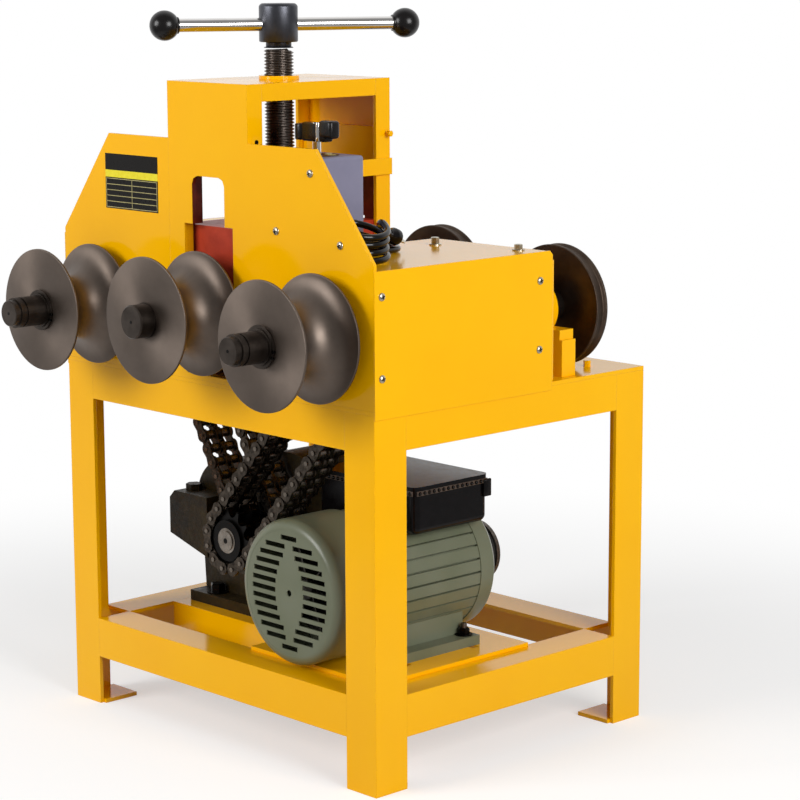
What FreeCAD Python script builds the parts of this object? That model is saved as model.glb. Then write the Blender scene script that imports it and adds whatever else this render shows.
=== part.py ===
import FreeCAD, Part
import math
import os

import Sketcher
from FreeCAD import Vector

# Millimetres. X runs right and is 0 on the middle shaft, Y runs back and is 0
# on the face of the front plates, Z runs up and is 0 on the floor.
SIZES = {
    # stand of angle iron
    "stand_width": 575,
    "stand_depth": 460,
    "table_height": 453,
    "table_wall": 5,
    "leg_flange": 50,
    "leg_wall": 5,
    "apron_drop": 45,
    "deck_height": 114,
    "deck_rail_drop": 51,
    "cross_rail_drop": 40,
    "cross_front_y": 124,
    "cross_rear_y": 262,
    "foot_side": 50,
    "foot_wall": 5,
    "motor_plate_left": 15.5,
    "motor_plate_right": 243.5,
    "motor_plate_front": 44,
    "motor_plate_back": 300,
    "motor_plate_wall": 5,
    "motor_slot_width": 11,
    "motor_slot_length": 42,
    # front plates and tower
    "plate_wall": 5,
    "wing_height_over_table": 290,
    "wing_side_height_over_table": 166,
    "wing_top_reach": 191.5,
    "tower_width": 148,
    "tower_depth": 228,
    "tower_height_over_table": 358.5,
    "tower_flange": 23,
    "cap_thickness": 20.7,
    "slot_neck_width": 60,
    "slot_wide_width": 90,
    "slot_top_over_table": 247,
    "slot_shoulder_over_table": 189,
    "slot_bottom_over_table": 7,
    "guide_wall": 11,
    "guide_top_over_table": 299,
    "guide_slot_rise": 8,
    "slide_gap": 0.2,
    # housing
    "cover_wall": 1.5,
    "cover_bottom_over_table": -10,
    "cover_top_over_table": 159,
    "cover_back": 291,
    "cover_corner": 22,
    "housing_wall": 2,
    "housing_back": 280,
    "housing_inner": 97.5,
    "housing_lip": 26,
    # shafts and rollers
    "shaft_spacing": 208,
    "side_shaft_z_over_table": 77,
    "middle_shaft_z_over_table": 85,
    "shaft_radius": 21,
    "shaft_end_back": 399,
    "side_stub_front": -146,
    "side_stub_radius": 18.5,
    "side_tip_radius": 16,
    "middle_stub_front": -119,
    "middle_stub_radius": 20,
    "roller_radius": 75,
    "roller_width": 82,
    "roller_gap": 16,
    "tube_radius": 38,
    "wheel_radius": 75.5,
    "wheel_width": 20,
    "wheel_front": 377,
    "wheel_groove_depth": 3,
    "circlip_radius": 24.75,
    "circlip_wall": 2.5,
    "fit_gap": 0.02,
    "run_gap": 0.05,
    # carriage
    "carriage_bottom_over_table": 37,
    "carriage_top_over_table": 186,
    "carriage_wall": 24,
    "carriage_side_wall": 12,
    "carriage_top_wall": 22,
    "carriage_lap": 40,
    "carriage_step_rise": 20,
    # press screw and tommy bar
    "screw_y": 114,
    "screw_radius": 18,
    "screw_neck_radius": 12,
    "hub_radius": 23.5,
    "hub_neck_radius": 15.5,
    "hub_bottom_over_table": 403,
    "hub_top_over_table": 449,
    "hub_neck_length": 6,
    "nut_radius": 22,
    "collar_radius": 24.5,
    "collar_height": 4.5,
    "bar_radius": 8,
    "bar_span": 300,
    "bar_height_over_table": 424,
    "bar_angle": 64,
    "bar_offset": 10,
    "knob_radius": 18,
    # chains and sprockets
    "chain_pitch": 19.05,
    "chain_roller_radius": 5.955,
    "chain_row_pitch": 22.78,
    "plate_height": 17,
    "chain_plate_wall": 2.4,
    "inner_plate_offset": 6.3,
    "outer_plate_offset": 8.9,
    "tooth_width": 11,
    "tooth_tip_radius": 41,
    "sprocket_teeth": 12,
    "sprocket_hub_radius": 26,
    "right_chain_y": 66,
    "left_chain_y": 117,
    "output_x": -44.5,
    "output_z": 240,
    "output_front": 55,
    "output_radius": 16,
    "output_tip_radius": 12.5,
    "output_seat_depth": 40,
    # bearings
    "front_flange_radius": 46,
    "front_flange_wall": 12,
    "front_boss_radius": 34,
    "front_bearing_length": 40,
    "pillow_front": 322,
    "pillow_length": 28,
    "pillow_radius": 36,
    "riser_half_length": 66.5,
    "riser_top_over_table": 45,
    # gear case
    "case_front": 160,
    "case_back": 284,
    "case_radius": 98,
    "case_right_cut": 22,
    "case_second_x": -182.5,
    "case_second_z": 248,
    "case_second_radius": 58,
    "case_lobe_left": -254.5,
    "case_lobe_right": -177.5,
    "case_lobe_front": 134,
    "case_lobe_top": 262,
    "case_lobe_bottom": 190,
    "case_foot_wall": 14,
    "input_x": -182.5,
    "input_z": 225,
    "input_radius": 12,
    "input_pulley_radius": 70,
    # motor
    "motor_x": 116.5,
    "motor_axis_rise": 90,
    "cowl_front": 19,
    "cowl_radius": 89,
    "cowl_wall": 1.6,
    "cowl_depth": 82,
    "cowl_round": 12,
    "vent_height": 6,
    "vent_pitch": 11.2,
    "motor_body_radius": 85,
    "fin_depth": 5,
    "fin_count": 32,
    "motor_shoulder": 293,
    "motor_foot_left": -90,
    "motor_foot_right": 90,
    "motor_foot_front": 110,
    "motor_foot_back": 252,
    "motor_foot_wall": 12,
    "motor_foot_inner": 40,
    "motor_web_inner": 42,
    "motor_web_outer": 68,
    "motor_web_drop": 40,
    "rotor_radius": 12,
    "fan_radius": 66,
    "fan_blade_length": 26,
    "fan_blade_wall": 2.5,
    "motor_pulley_radius": 39,
    "pulley_front": 301,
    "pulley_length": 40,
    "belt_width": 12,
    "belt_wall": 8,
    "belt_pitch": 16,
    "box_left": -89,
    "box_right": 84,
    "box_front": 147,
    "box_back": 272,
    "box_seam": 321,
    "box_top": 331,
    "box_round": 9,
    "box_lip": 1.5,
    # switch and cord
    "switch_left": 87.5,
    "switch_right": 172.5,
    "switch_front": 20,
    "switch_back": 94,
    "switch_height": 118,
    "switch_round": 4,
    "stem_x": 132.5,
    "stem_y": 56,
    "stem_radius": 5,
    "stem_length": 15,
    "grip_span": 58,
    "grip_width": 16,
    "grip_height": 26,
    "bracket_bottom_over_table": 241,
    "bracket_top_over_table": 261,
    "bracket_wall": 4,
    "cord_radius": 4,
    "coil_y": 49,
    "coil_radius": 32,
    "coil_sway": 1,
    "coil_pitch": 9,
    "coil_lean": 6,
    "coil_lean_growth": 3.3,
    "coil_turns": 3.7,
    "lead_width": 72.8,
    "plug_radius": 10,
    "plug_length": 24,
    "pin_length": 14,
}

doc = FreeCAD.newDocument("bender")
sheet = doc.addObject("Spreadsheet::Sheet", "sizes")


class Size:
    """A length with the sheet expression that it comes from."""

    def __init__(self, text, value):
        self.text = text
        self.value = float(value)

    def __float__(self):
        return self.value

    def joined(self, other, sign, value):
        return Size(f"({self.text} {sign} {text_of(other)})", value)

    def __add__(self, other):
        return self.joined(other, "+", self.value + float(other))

    def __sub__(self, other):
        return self.joined(other, "-", self.value - float(other))

    def __mul__(self, other):
        return self.joined(other, "*", self.value * float(other))

    def __truediv__(self, other):
        return self.joined(other, "/", self.value / float(other))

    def __neg__(self):
        return Size(f"(0 - {self.text})", -self.value)

    def __radd__(self, other):
        return self + other

    def __rmul__(self, other):
        return self * other

    def __rsub__(self, other):
        return -self + other


def text_of(number):
    if isinstance(number, Size):
        return number.text
    if number < 0:
        return f"(0 - {-number:.9g})"
    return f"{number:.9g}"


class Sheet:
    """The sizes by name, each read from its cell of the sheet."""


s = Sheet()
for row, (alias, number) in enumerate(SIZES.items(), start=1):
    sheet.set(f"A{row}", alias)
    sheet.set(f"B{row}", str(number))
    sheet.setAlias(f"B{row}", alias)
doc.recompute()
for alias in SIZES:
    setattr(s, alias, Size(f"sizes.{alias}", sheet.get(alias)))
# Heights of the pieces on the table, from the floor.
for alias in SIZES:
    if alias.endswith("_over_table"):
        height = s.table_height + getattr(s, alias)
        setattr(s, alias.removesuffix("_over_table"), height)


def bind(thing, name, size):
    """Ties one property to the sheet, or sets it where it is a plain number."""
    if isinstance(size, Size):
        thing.setExpression(name, size.text)
    elif "." in name:
        thing.setExpression(name, text_of(size))
    else:
        setattr(thing, name, size)


def place(thing, x=0, y=0, z=0):
    for axis, size in (("x", x), ("y", y), ("z", z)):
        bind(thing, f"Placement.Base.{axis}", size)


def box(name, x, y, z):
    """A block from pairs of its limits along X, Y and Z."""
    block = doc.addObject("Part::Box", name)
    bind(block, "Length", x[1] - x[0])
    bind(block, "Width", y[1] - y[0])
    bind(block, "Height", z[1] - z[0])
    place(block, x[0], y[0], z[0])
    return block


def rod(name, axis, across, along, radius):
    """A cylinder on X, Y or Z. across is its place in the other two axes."""
    cylinder = doc.addObject("Part::Cylinder", name)
    bind(cylinder, "Radius", radius)
    bind(cylinder, "Height", along[1] - along[0])
    if axis == "Y":
        cylinder.Placement = FreeCAD.Placement(
            Vector(), FreeCAD.Rotation(Vector(1, 0, 0), -90)
        )
        place(cylinder, across[0], along[0], across[1])
    elif axis == "X":
        cylinder.Placement = FreeCAD.Placement(
            Vector(), FreeCAD.Rotation(Vector(0, 1, 0), 90)
        )
        place(cylinder, along[0], across[0], across[1])
    else:
        place(cylinder, across[0], across[1], along[0])
    return cylinder


def join(name, *things):
    fusion = doc.addObject("Part::MultiFuse", name)
    fusion.Shapes = list(things)
    return fusion


def cut(name, base, *tools):
    tool = tools[0] if len(tools) == 1 else join(f"{name}_tools", *tools)
    difference = doc.addObject("Part::Cut", name)
    difference.Base = base
    difference.Tool = tool
    return difference


def outline(body, plane, corners):
    """A closed sketch on one of the body's own planes, each corner dimensioned."""
    sketch = body.newObject("Sketcher::SketchObject", f"{body.Name}_outline")
    own = [f for f in body.Origin.OriginFeatures if f.Role == f"{plane}_Plane"]
    sketch.AttachmentSupport = [(own[0], "")]
    sketch.MapMode = "FlatFace"
    points = [Vector(float(a), float(b), 0) for a, b in corners]
    count = len(points)
    for i in range(count):
        sketch.addGeometry(Part.LineSegment(points[i], points[(i + 1) % count]))
    for i in range(count):
        sketch.addConstraint(
            Sketcher.Constraint("Coincident", i, 2, (i + 1) % count, 1)
        )
    for i, corner in enumerate(corners):
        for kind, size in zip(("DistanceX", "DistanceY"), corner):
            index = sketch.addConstraint(
                Sketcher.Constraint(kind, -1, 1, i, 1, float(size))
            )
            if isinstance(size, Size):
                sketch.setExpression(f"Constraints[{index}]", size.text)
    return sketch


def pad(name, plane, corners, start, length):
    """An outline on XY, XZ or YZ, padded along +Z, +Y or +X from start."""
    body = doc.addObject("PartDesign::Body", name)
    sketch = outline(body, plane, corners)
    feature = body.newObject("PartDesign::Pad", f"{name}_pad")
    feature.Profile = sketch
    bind(feature, "Length", length)
    feature.Reversed = plane == "XZ"
    base = {"XY": "z", "XZ": "y", "YZ": "x"}[plane]
    place(body, **{base: start})
    return body


def turn(name, axis, corners, across=(0, 0)):
    """An outline of (radius, height) turned about a Y or Z axis at across."""
    body = doc.addObject("PartDesign::Body", name)
    sketch = outline(body, "XY" if axis == "Y" else "XZ", corners)
    feature = body.newObject("PartDesign::Revolution", f"{name}_turn")
    feature.Profile = sketch
    feature.ReferenceAxis = (sketch, ["V_Axis"])
    feature.Angle = 360
    if axis == "Y":
        place(body, x=across[0], z=across[1])
    else:
        place(body, x=across[0], y=across[1])
    return body


def rounded(body, radius, picks):
    """Fillets the body's edges for which picks(edge) holds."""
    doc.recompute()
    tip = body.Tip
    names = [f"Edge{i}" for i, e in enumerate(tip.Shape.Edges, start=1) if picks(e)]
    feature = body.newObject("PartDesign::Fillet", f"{body.Name}_round")
    feature.Base = (tip, names)
    bind(feature, "Radius", radius)
    return body


def formed(name, shape):
    feature = doc.addObject("Part::Feature", name)
    feature.Shape = shape
    return feature


parts = []
centre_y = (s.stand_depth + s.side_stub_front) / 2


def piece(label, *things):
    """One named sub-part of the bender, moved to the middle of its footprint."""
    group = doc.addObject("Part::Compound", f"part_{label}")
    group.Links = list(things)
    group.Label = label
    bind(group, "Placement.Base.y", -centre_y)
    parts.append(group)


half_width = s.stand_width / 2
half_tower = s.tower_width / 2

# The stand of angle iron.
table_under = s.table_height - s.table_wall
for side, side_name in ((-1, "left"), (1, "right")):
    for end, end_name in ((1, "front"), (-1, "rear")):
        corner_x = half_width * side
        corner_y = 0 if end == 1 else s.stand_depth
        inward_x = s.leg_flange * -side
        inward_y = s.leg_flange * end
        wall_x = s.leg_wall * -side
        wall_y = s.leg_wall * end
        name = f"leg_{end_name}_{side_name}"
        angle = pad(
            f"{name}_angle",
            "XY",
            [
                (corner_x, corner_y),
                (corner_x + inward_x, corner_y),
                (corner_x + inward_x, corner_y + wall_y),
                (corner_x + wall_x, corner_y + wall_y),
                (corner_x + wall_x, corner_y + inward_y),
                (corner_x, corner_y + inward_y),
            ],
            0,
            table_under,
        )
        near_x = corner_x + wall_x
        far_x = near_x + s.foot_side * -side
        near_y = corner_y + wall_y
        far_y = near_y + s.foot_side * end
        foot = box(
            f"{name}_foot",
            (near_x, far_x) if side == -1 else (far_x, near_x),
            (near_y, far_y) if end == 1 else (far_y, near_y),
            (0, s.foot_wall),
        )
        piece(name, join(f"{name}_weldment", angle, foot))


def rail_ring(name, top, drop, wall):
    """Four angle rails between the legs, with their flanges inward at the top."""
    inner_x = half_width - s.leg_flange
    inner_y = s.stand_depth - s.leg_flange
    section = [
        (0, top - drop),
        (wall, top - drop),
        (wall, top - wall),
        (s.leg_flange, top - wall),
        (s.leg_flange, top),
        (0, top),
    ]
    front = pad(f"{name}_front", "YZ", section, -inner_x, inner_x * 2)
    flipped = [(s.stand_depth - y, z) for y, z in section]
    rear = pad(f"{name}_rear", "YZ", flipped, -inner_x, inner_x * 2)
    left_section = [(y - half_width, z) for y, z in section]
    right_section = [(half_width - y, z) for y, z in section]
    span = inner_y - s.leg_flange
    left = pad(f"{name}_left", "XZ", left_section, s.leg_flange, span)
    right = pad(f"{name}_right", "XZ", right_section, s.leg_flange, span)
    piece(name, front, rear, left, right)


rail_ring("top_rails", table_under, s.apron_drop, s.leg_wall)
rail_ring("lower_rails", s.deck_height, s.deck_rail_drop, s.leg_wall)

cross_rails = []
for name, start in (("front", s.cross_front_y), ("rear", s.cross_rear_y)):
    low = s.deck_height - s.cross_rail_drop
    under = s.deck_height - s.leg_wall
    cross_rails.append(
        pad(
            f"cross_rail_{name}",
            "YZ",
            [
                (start, low),
                (start + s.leg_wall, low),
                (start + s.leg_wall, under),
                (start + s.cross_rail_drop, under),
                (start + s.cross_rail_drop, s.deck_height),
                (start, s.deck_height),
            ],
            s.leg_flange - half_width,
            s.stand_width - s.leg_flange * 2,
        )
    )
piece("deck_rails", *cross_rails)

# The table is open where the chains and the low rear wheel come through.
pitch_radius = s.chain_pitch / (2 * math.sin(math.pi / s.sprocket_teeth.value))
chain_reach = s.outer_plate_offset + s.chain_plate_wall + 4


def chain_opening(name, shaft_x, first_row):
    share = (s.table_height - s.output_z) / (s.side_shaft_z - s.output_z)
    middle = s.output_x + (shaft_x - s.output_x) * share
    reach = pitch_radius * 1.4 + s.plate_height
    return box(
        name,
        (middle - reach, middle + reach),
        (first_row - chain_reach, first_row + s.chain_row_pitch + chain_reach),
        (table_under - 10, s.table_height + 10),
    )


table = cut(
    "table_sheet",
    box(
        "table_blank",
        (-half_width, half_width),
        (0, s.stand_depth),
        (table_under, s.table_height),
    ),
    chain_opening("right_chain_opening", s.shaft_spacing, s.right_chain_y),
    chain_opening("left_chain_opening", -s.shaft_spacing, s.left_chain_y),
    box(
        "wheel_opening",
        (-s.wheel_radius - 8, s.wheel_radius + 8),
        (s.wheel_front - 8, s.wheel_front + s.wheel_width + 8),
        (table_under - 10, s.table_height + 10),
    ),
)
piece("table_top", table)

motor_deck = s.deck_height + s.motor_plate_wall
motor_z = motor_deck + s.motor_axis_rise
slots = []
for end, slot_y in (("front", s.motor_foot_front), ("rear", s.motor_foot_back)):
    for side, slot_x in (
        ("left", s.motor_x + s.motor_foot_left),
        ("right", s.motor_x + s.motor_foot_right),
    ):
        inward = 14 if side == "left" else -14
        inset = 14 if end == "front" else -14
        slots.append(
            box(
                f"motor_slot_{end}_{side}",
                (
                    slot_x + inward - s.motor_slot_length / 2,
                    slot_x + inward + s.motor_slot_length / 2,
                ),
                (
                    slot_y + inset - s.motor_slot_width / 2,
                    slot_y + inset + s.motor_slot_width / 2,
                ),
                (s.deck_height - 5, motor_deck + 5),
            )
        )
motor_plate = box(
    "motor_plate_blank",
    (s.motor_plate_left, s.motor_plate_right),
    (s.motor_plate_front, s.motor_plate_back),
    (s.deck_height, motor_deck),
)
piece("motor_base_plate", cut("motor_plate", motor_plate, *slots))

# The front plates and the tower.
slot_neck = s.slot_neck_width / 2
slot_wide = s.slot_wide_width / 2


def keyhole(name, start, length, top=s.slot_top):
    corner = 10
    return pad(
        name,
        "XZ",
        [
            (-slot_wide, s.slot_bottom),
            (slot_wide, s.slot_bottom),
            (slot_wide, s.slot_shoulder),
            (slot_neck, s.slot_shoulder),
            (slot_neck, top - corner),
            (slot_neck - corner * 0.3, top - corner * 0.3),
            (slot_neck - corner, top),
            (corner - slot_neck, top),
            (corner * 0.3 - slot_neck, top - corner * 0.3),
            (-slot_neck, top - corner),
            (-slot_neck, s.slot_shoulder),
            (-slot_wide, s.slot_shoulder),
        ],
        start,
        length,
    )


def through_hole(name, x, z, start, end, radius):
    return rod(name, "Y", (x, z), (start - 5, end + 5), radius)


front_sheet = pad(
    "front_sheet",
    "XZ",
    [
        (-half_tower, s.table_height),
        (half_width, s.table_height),
        (half_width, s.wing_side_height),
        (s.wing_top_reach, s.wing_height),
        (half_tower, s.wing_height),
        (half_tower, s.tower_height),
        (-half_tower, s.tower_height),
    ],
    0,
    s.plate_wall,
)
flanges = [
    box(
        f"front_flange_{side}",
        limits,
        (s.plate_wall, s.tower_flange),
        (s.table_height, s.tower_height),
    )
    for side, limits in (
        ("left", (-half_tower, s.plate_wall - half_tower)),
        ("right", (half_tower - s.plate_wall, half_tower)),
    )
]
shaft_hole = s.shaft_radius + 2
piece(
    "front_plate",
    cut(
        "front_plate_cut",
        join("front_plate_blank", front_sheet, *flanges),
        keyhole("front_keyhole", -5, s.plate_wall + 10),
        through_hole(
            "right_shaft_hole",
            s.shaft_spacing,
            s.side_shaft_z,
            0,
            s.plate_wall,
            shaft_hole,
        ),
    ),
)
left_sheet = pad(
    "left_sheet",
    "XZ",
    [
        (-half_width, s.table_height),
        (-half_tower, s.table_height),
        (-half_tower, s.wing_height),
        (-s.wing_top_reach, s.wing_height),
        (-half_width, s.wing_side_height),
    ],
    0,
    s.plate_wall,
)
piece(
    "left_wing_plate",
    cut(
        "left_wing_cut",
        left_sheet,
        through_hole(
            "left_shaft_hole",
            -s.shaft_spacing,
            s.side_shaft_z,
            0,
            s.plate_wall,
            shaft_hole,
        ),
    ),
)

rear_web = s.tower_depth - s.plate_wall
channel = pad(
    "rear_channel",
    "XY",
    [
        (-half_tower, s.tower_depth - s.tower_flange),
        (s.plate_wall - half_tower, s.tower_depth - s.tower_flange),
        (s.plate_wall - half_tower, rear_web),
        (half_tower - s.plate_wall, rear_web),
        (half_tower - s.plate_wall, s.tower_depth - s.tower_flange),
        (half_tower, s.tower_depth - s.tower_flange),
        (half_tower, s.tower_depth),
        (-half_tower, s.tower_depth),
    ],
    s.table_height,
    s.tower_height - s.table_height,
)
piece(
    "tower_rear_channel",
    cut("rear_channel_cut", channel, keyhole("rear_keyhole", rear_web - 5, 20)),
)

cap_bottom = s.tower_height - s.cap_thickness
inner_half = half_tower - s.plate_wall
cap_flange = s.tower_depth - s.tower_flange
piece(
    "tower_cap",
    cut(
        "cap_bored",
        pad(
            "cap_blank",
            "XY",
            [
                (-inner_half, s.plate_wall),
                (inner_half, s.plate_wall),
                (inner_half, s.tower_flange),
                (half_tower, s.tower_flange),
                (half_tower, cap_flange),
                (inner_half, cap_flange),
                (inner_half, rear_web),
                (-inner_half, rear_web),
                (-inner_half, cap_flange),
                (-half_tower, cap_flange),
                (-half_tower, s.tower_flange),
                (-inner_half, s.tower_flange),
            ],
            cap_bottom,
            s.cap_thickness,
        ),
        rod(
            "cap_bore",
            "Z",
            (0, s.screw_y),
            (cap_bottom - 5, s.tower_height + 5),
            s.nut_radius + s.fit_gap,
        ),
    ),
)

guide_front = s.plate_wall + s.guide_wall
guide_rear = rear_web - s.guide_wall
guides = []
for name, start in (("front", s.plate_wall), ("rear", guide_rear)):
    blank = box(
        f"guide_{name}_blank",
        (-inner_half, inner_half),
        (start, start + s.guide_wall),
        (s.table_height, s.guide_top),
    )
    slot = keyhole(
        f"guide_{name}_slot",
        start - 5,
        s.guide_wall + 10,
        s.slot_top + s.guide_slot_rise,
    )
    guides.append(cut(f"guide_{name}", blank, slot))
piece("carriage_guides", *guides)

# The sheet housing on the table.
for side, name in ((-1, "left"), (1, "right")):
    face = pad(
        f"cover_{name}_face",
        "YZ",
        [
            (0, s.cover_bottom),
            (s.cover_back, s.cover_bottom),
            (s.cover_back, s.cover_top - s.cover_corner),
            (
                s.cover_back - s.cover_corner * 0.3,
                s.cover_top - s.cover_corner * 0.3,
            ),
            (s.cover_back - s.cover_corner, s.cover_top),
            (0, s.cover_top),
        ],
        half_width if side == 1 else -half_width - s.cover_wall,
        s.cover_wall,
    )
    piece(f"side_cover_{name}", face)

    inner = s.housing_inner
    outer = half_width
    limits = (inner, outer) if side == 1 else (-outer, -inner)
    lid_under = s.cover_top - s.housing_wall
    lid = box(
        f"lid_{name}_sheet",
        limits,
        (s.plate_wall, s.housing_back + s.housing_wall),
        (lid_under, s.cover_top),
    )
    lip_limits = (inner, s.wing_top_reach) if side == 1 else (-s.wing_top_reach, -inner)
    lip = box(
        f"lid_{name}_lip",
        lip_limits,
        (s.plate_wall, s.plate_wall + s.housing_wall),
        (s.cover_top, s.cover_top + s.housing_lip),
    )
    piece(f"housing_top_{name}", join(f"lid_{name}", lid, lip))

    wall = box(
        f"back_{name}_sheet",
        limits,
        (s.housing_back, s.housing_back + s.housing_wall),
        (s.table_height, lid_under),
    )
    hole = through_hole(
        f"back_{name}_hole",
        s.shaft_spacing * side,
        s.side_shaft_z,
        s.housing_back,
        s.housing_back + s.housing_wall,
        shaft_hole + 3,
    )
    piece(f"housing_rear_{name}", cut(f"back_{name}", wall, hole))

# The three shafts with their rollers and wheels.
roller_back = -s.roller_gap
roller_front = roller_back - s.roller_width
wheel_back = s.wheel_front + s.wheel_width
bore_radius = s.shaft_radius + s.fit_gap
clip_back = roller_front - s.fit_gap
clip_front = clip_back - s.circlip_wall


def roller(name, x, z):
    """A grooved forming roller, bored for its shaft."""
    blank = turn(
        f"{name}_blank",
        "Y",
        [
            (bore_radius, roller_front),
            (s.roller_radius, roller_front),
            (s.roller_radius, roller_back),
            (bore_radius, roller_back),
        ],
        (x, z),
    )
    ring = doc.addObject("Part::Torus", f"{name}_groove")
    bind(ring, "Radius1", s.roller_radius)
    bind(ring, "Radius2", s.tube_radius)
    ring.Placement = FreeCAD.Placement(
        Vector(), FreeCAD.Rotation(Vector(1, 0, 0), -90)
    )
    place(ring, x, (roller_front + roller_back) / 2, z)
    piece(name, cut(f"{name}_turned", blank, ring))


def wheel(name, x, z):
    """A narrow rear wheel with a shallow groove between bevelled rims."""
    rim = 3
    low = s.wheel_radius - s.wheel_groove_depth
    blank = turn(
        f"{name}_blank",
        "Y",
        [
            (bore_radius, s.wheel_front),
            (s.wheel_radius - 1, s.wheel_front),
            (s.wheel_radius, s.wheel_front + 1),
            (s.wheel_radius, s.wheel_front + rim),
            (low, s.wheel_front + rim * 2),
            (low, wheel_back - rim * 2),
            (s.wheel_radius, wheel_back - rim),
            (s.wheel_radius, wheel_back - 1),
            (s.wheel_radius - 1, wheel_back),
            (bore_radius, wheel_back),
        ],
        (x, z),
    )
    piece(name, blank)


piece(
    "shaft_middle",
    turn(
        "middle_shaft_turned",
        "Y",
        [
            (0, s.middle_stub_front),
            (s.middle_stub_radius - 1.5, s.middle_stub_front),
            (s.middle_stub_radius, s.middle_stub_front + 1.5),
            (s.middle_stub_radius, roller_front - 0.5),
            (s.shaft_radius, roller_front - 0.5),
            (s.shaft_radius, s.shaft_end_back - 2),
            (s.shaft_radius - 2, s.shaft_end_back),
            (0, s.shaft_end_back),
        ],
        (0, s.middle_shaft_z),
    ),
)
roller("roller_front_middle", 0, s.middle_shaft_z)
wheel("roller_rear_middle", 0, s.middle_shaft_z)

sprocket_bore = s.shaft_radius + s.fit_gap
for side, name, first_row in (
    (-1, "left", s.left_chain_y),
    (1, "right", s.right_chain_y),
):
    x = s.shaft_spacing * side
    tip_radius = s.side_tip_radius
    stub = s.side_stub_radius
    shaft = turn(
        f"shaft_{name}_turned",
        "Y",
        [
            (0, s.side_stub_front),
            (tip_radius - 1, s.side_stub_front),
            (tip_radius, s.side_stub_front + 1),
            (tip_radius, s.side_stub_front + 8),
            (stub, s.side_stub_front + 8),
            (stub, s.side_stub_front + 14),
            (stub - 1.5, s.side_stub_front + 14),
            (stub - 1.5, s.side_stub_front + 17),
            (stub, s.side_stub_front + 17),
            (stub, clip_front - 2),
            (s.shaft_radius, clip_front - 2),
            (s.shaft_radius, clip_front - s.fit_gap),
            (s.shaft_radius - 1, clip_front - s.fit_gap),
            (s.shaft_radius - 1, clip_back + s.fit_gap),
            (s.shaft_radius, clip_back + s.fit_gap),
            (s.shaft_radius, s.shaft_end_back - 2),
            (s.shaft_radius - 2, s.shaft_end_back),
            (0, s.shaft_end_back),
        ],
        (x, s.side_shaft_z),
    )
    circlip = turn(
        f"circlip_{name}",
        "Y",
        [
            (s.shaft_radius - 1 + s.fit_gap, clip_front),
            (s.circlip_radius, clip_front),
            (s.circlip_radius, clip_back),
            (s.shaft_radius - 1 + s.fit_gap, clip_back),
        ],
        (x, s.side_shaft_z),
    )
    piece(f"shaft_{name}", shaft, circlip)
    roller(f"roller_front_{name}", x, s.side_shaft_z)
    wheel(f"roller_rear_{name}", x, s.side_shaft_z)

# The carriage that carries the middle shaft.
slide_half = inner_half - s.slide_gap * 2
carriage_front = guide_front + s.slide_gap
carriage_back = guide_rear - s.slide_gap
carriage_under = s.carriage_top - s.carriage_top_wall
shell = box(
    "carriage_block",
    (-slide_half, slide_half),
    (carriage_front, carriage_back),
    (s.carriage_bottom, s.carriage_top),
)
hollow = box(
    "carriage_hollow",
    (s.carriage_side_wall - slide_half, slide_half - s.carriage_side_wall),
    (carriage_front + s.carriage_wall, carriage_back - s.carriage_wall),
    (s.carriage_bottom - 5, carriage_under),
)
# The sides step in behind the flanges of the two channels.
step_in = [
    box(
        f"carriage_step_{side}",
        limits,
        (s.tower_flange + s.carriage_lap, s.tower_depth - s.tower_flange - s.carriage_lap),
        (s.carriage_bottom + s.carriage_step_rise, carriage_under - s.carriage_step_rise),
    )
    for side, limits in (
        ("left", (-slide_half - 5, s.carriage_side_wall + 5 - slide_half)),
        ("right", (slide_half - s.carriage_side_wall - 5, slide_half + 5)),
    )
]
piece(
    "carriage",
    cut(
        "carriage_bored",
        shell,
        hollow,
        *step_in,
        through_hole(
            "carriage_shaft_bore",
            0,
            s.middle_shaft_z,
            carriage_front,
            carriage_back,
            s.shaft_radius + s.run_gap,
        ),
        rod(
            "carriage_screw_bore",
            "Z",
            (0, s.screw_y),
            (carriage_under - 5, s.carriage_top + 5),
            s.screw_neck_radius + s.run_gap,
        ),
    ),
)

# The press screw, its nut and its tommy bar.
screw_shoulder = s.carriage_top + s.slide_gap
collar_top = carriage_under - s.slide_gap
neck_bottom = s.hub_bottom - s.hub_neck_length
screw = turn(
    "screw_turned",
    "Z",
    [
        (0, collar_top - 12),
        (s.screw_radius, collar_top - 12),
        (s.screw_radius, collar_top),
        (s.screw_neck_radius, collar_top),
        (s.screw_neck_radius, screw_shoulder),
        (s.screw_radius - 1, screw_shoulder),
        (s.screw_radius, screw_shoulder + 1),
        (s.screw_radius, neck_bottom - 1),
        (s.screw_radius - 1, neck_bottom),
        (s.hub_neck_radius, neck_bottom),
        (s.hub_neck_radius, s.hub_bottom),
        (s.hub_radius - 1, s.hub_bottom),
        (s.hub_radius, s.hub_bottom + 1),
        (s.hub_radius, s.hub_top - 3),
        (s.hub_radius - 3, s.hub_top),
        (0, s.hub_top),
    ],
    (0, s.screw_y),
)


def along_bar(name, start, end, radius):
    """A cylinder through the hub, along the tommy bar."""
    cylinder = doc.addObject("Part::Cylinder", name)
    bind(cylinder, "Radius", radius)
    bind(cylinder, "Height", end - start)
    heading = math.radians(s.bar_angle.value)
    run = Vector(math.cos(heading), math.sin(heading), 0)
    cylinder.Placement = FreeCAD.Placement(
        Vector(), FreeCAD.Rotation(Vector(0, 0, 1), run)
    )
    place(
        cylinder,
        start * run.x,
        s.screw_y + start * run.y,
        s.bar_height,
    )
    return cylinder


bar_start = s.bar_offset - s.bar_span / 2
bar_end = s.bar_offset + s.bar_span / 2
bar_bore = along_bar("bar_bore", -s.hub_radius * 2, s.hub_radius * 2, s.bar_radius + s.run_gap)
piece("press_screw", cut("screw_bored", screw, bar_bore))

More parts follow.
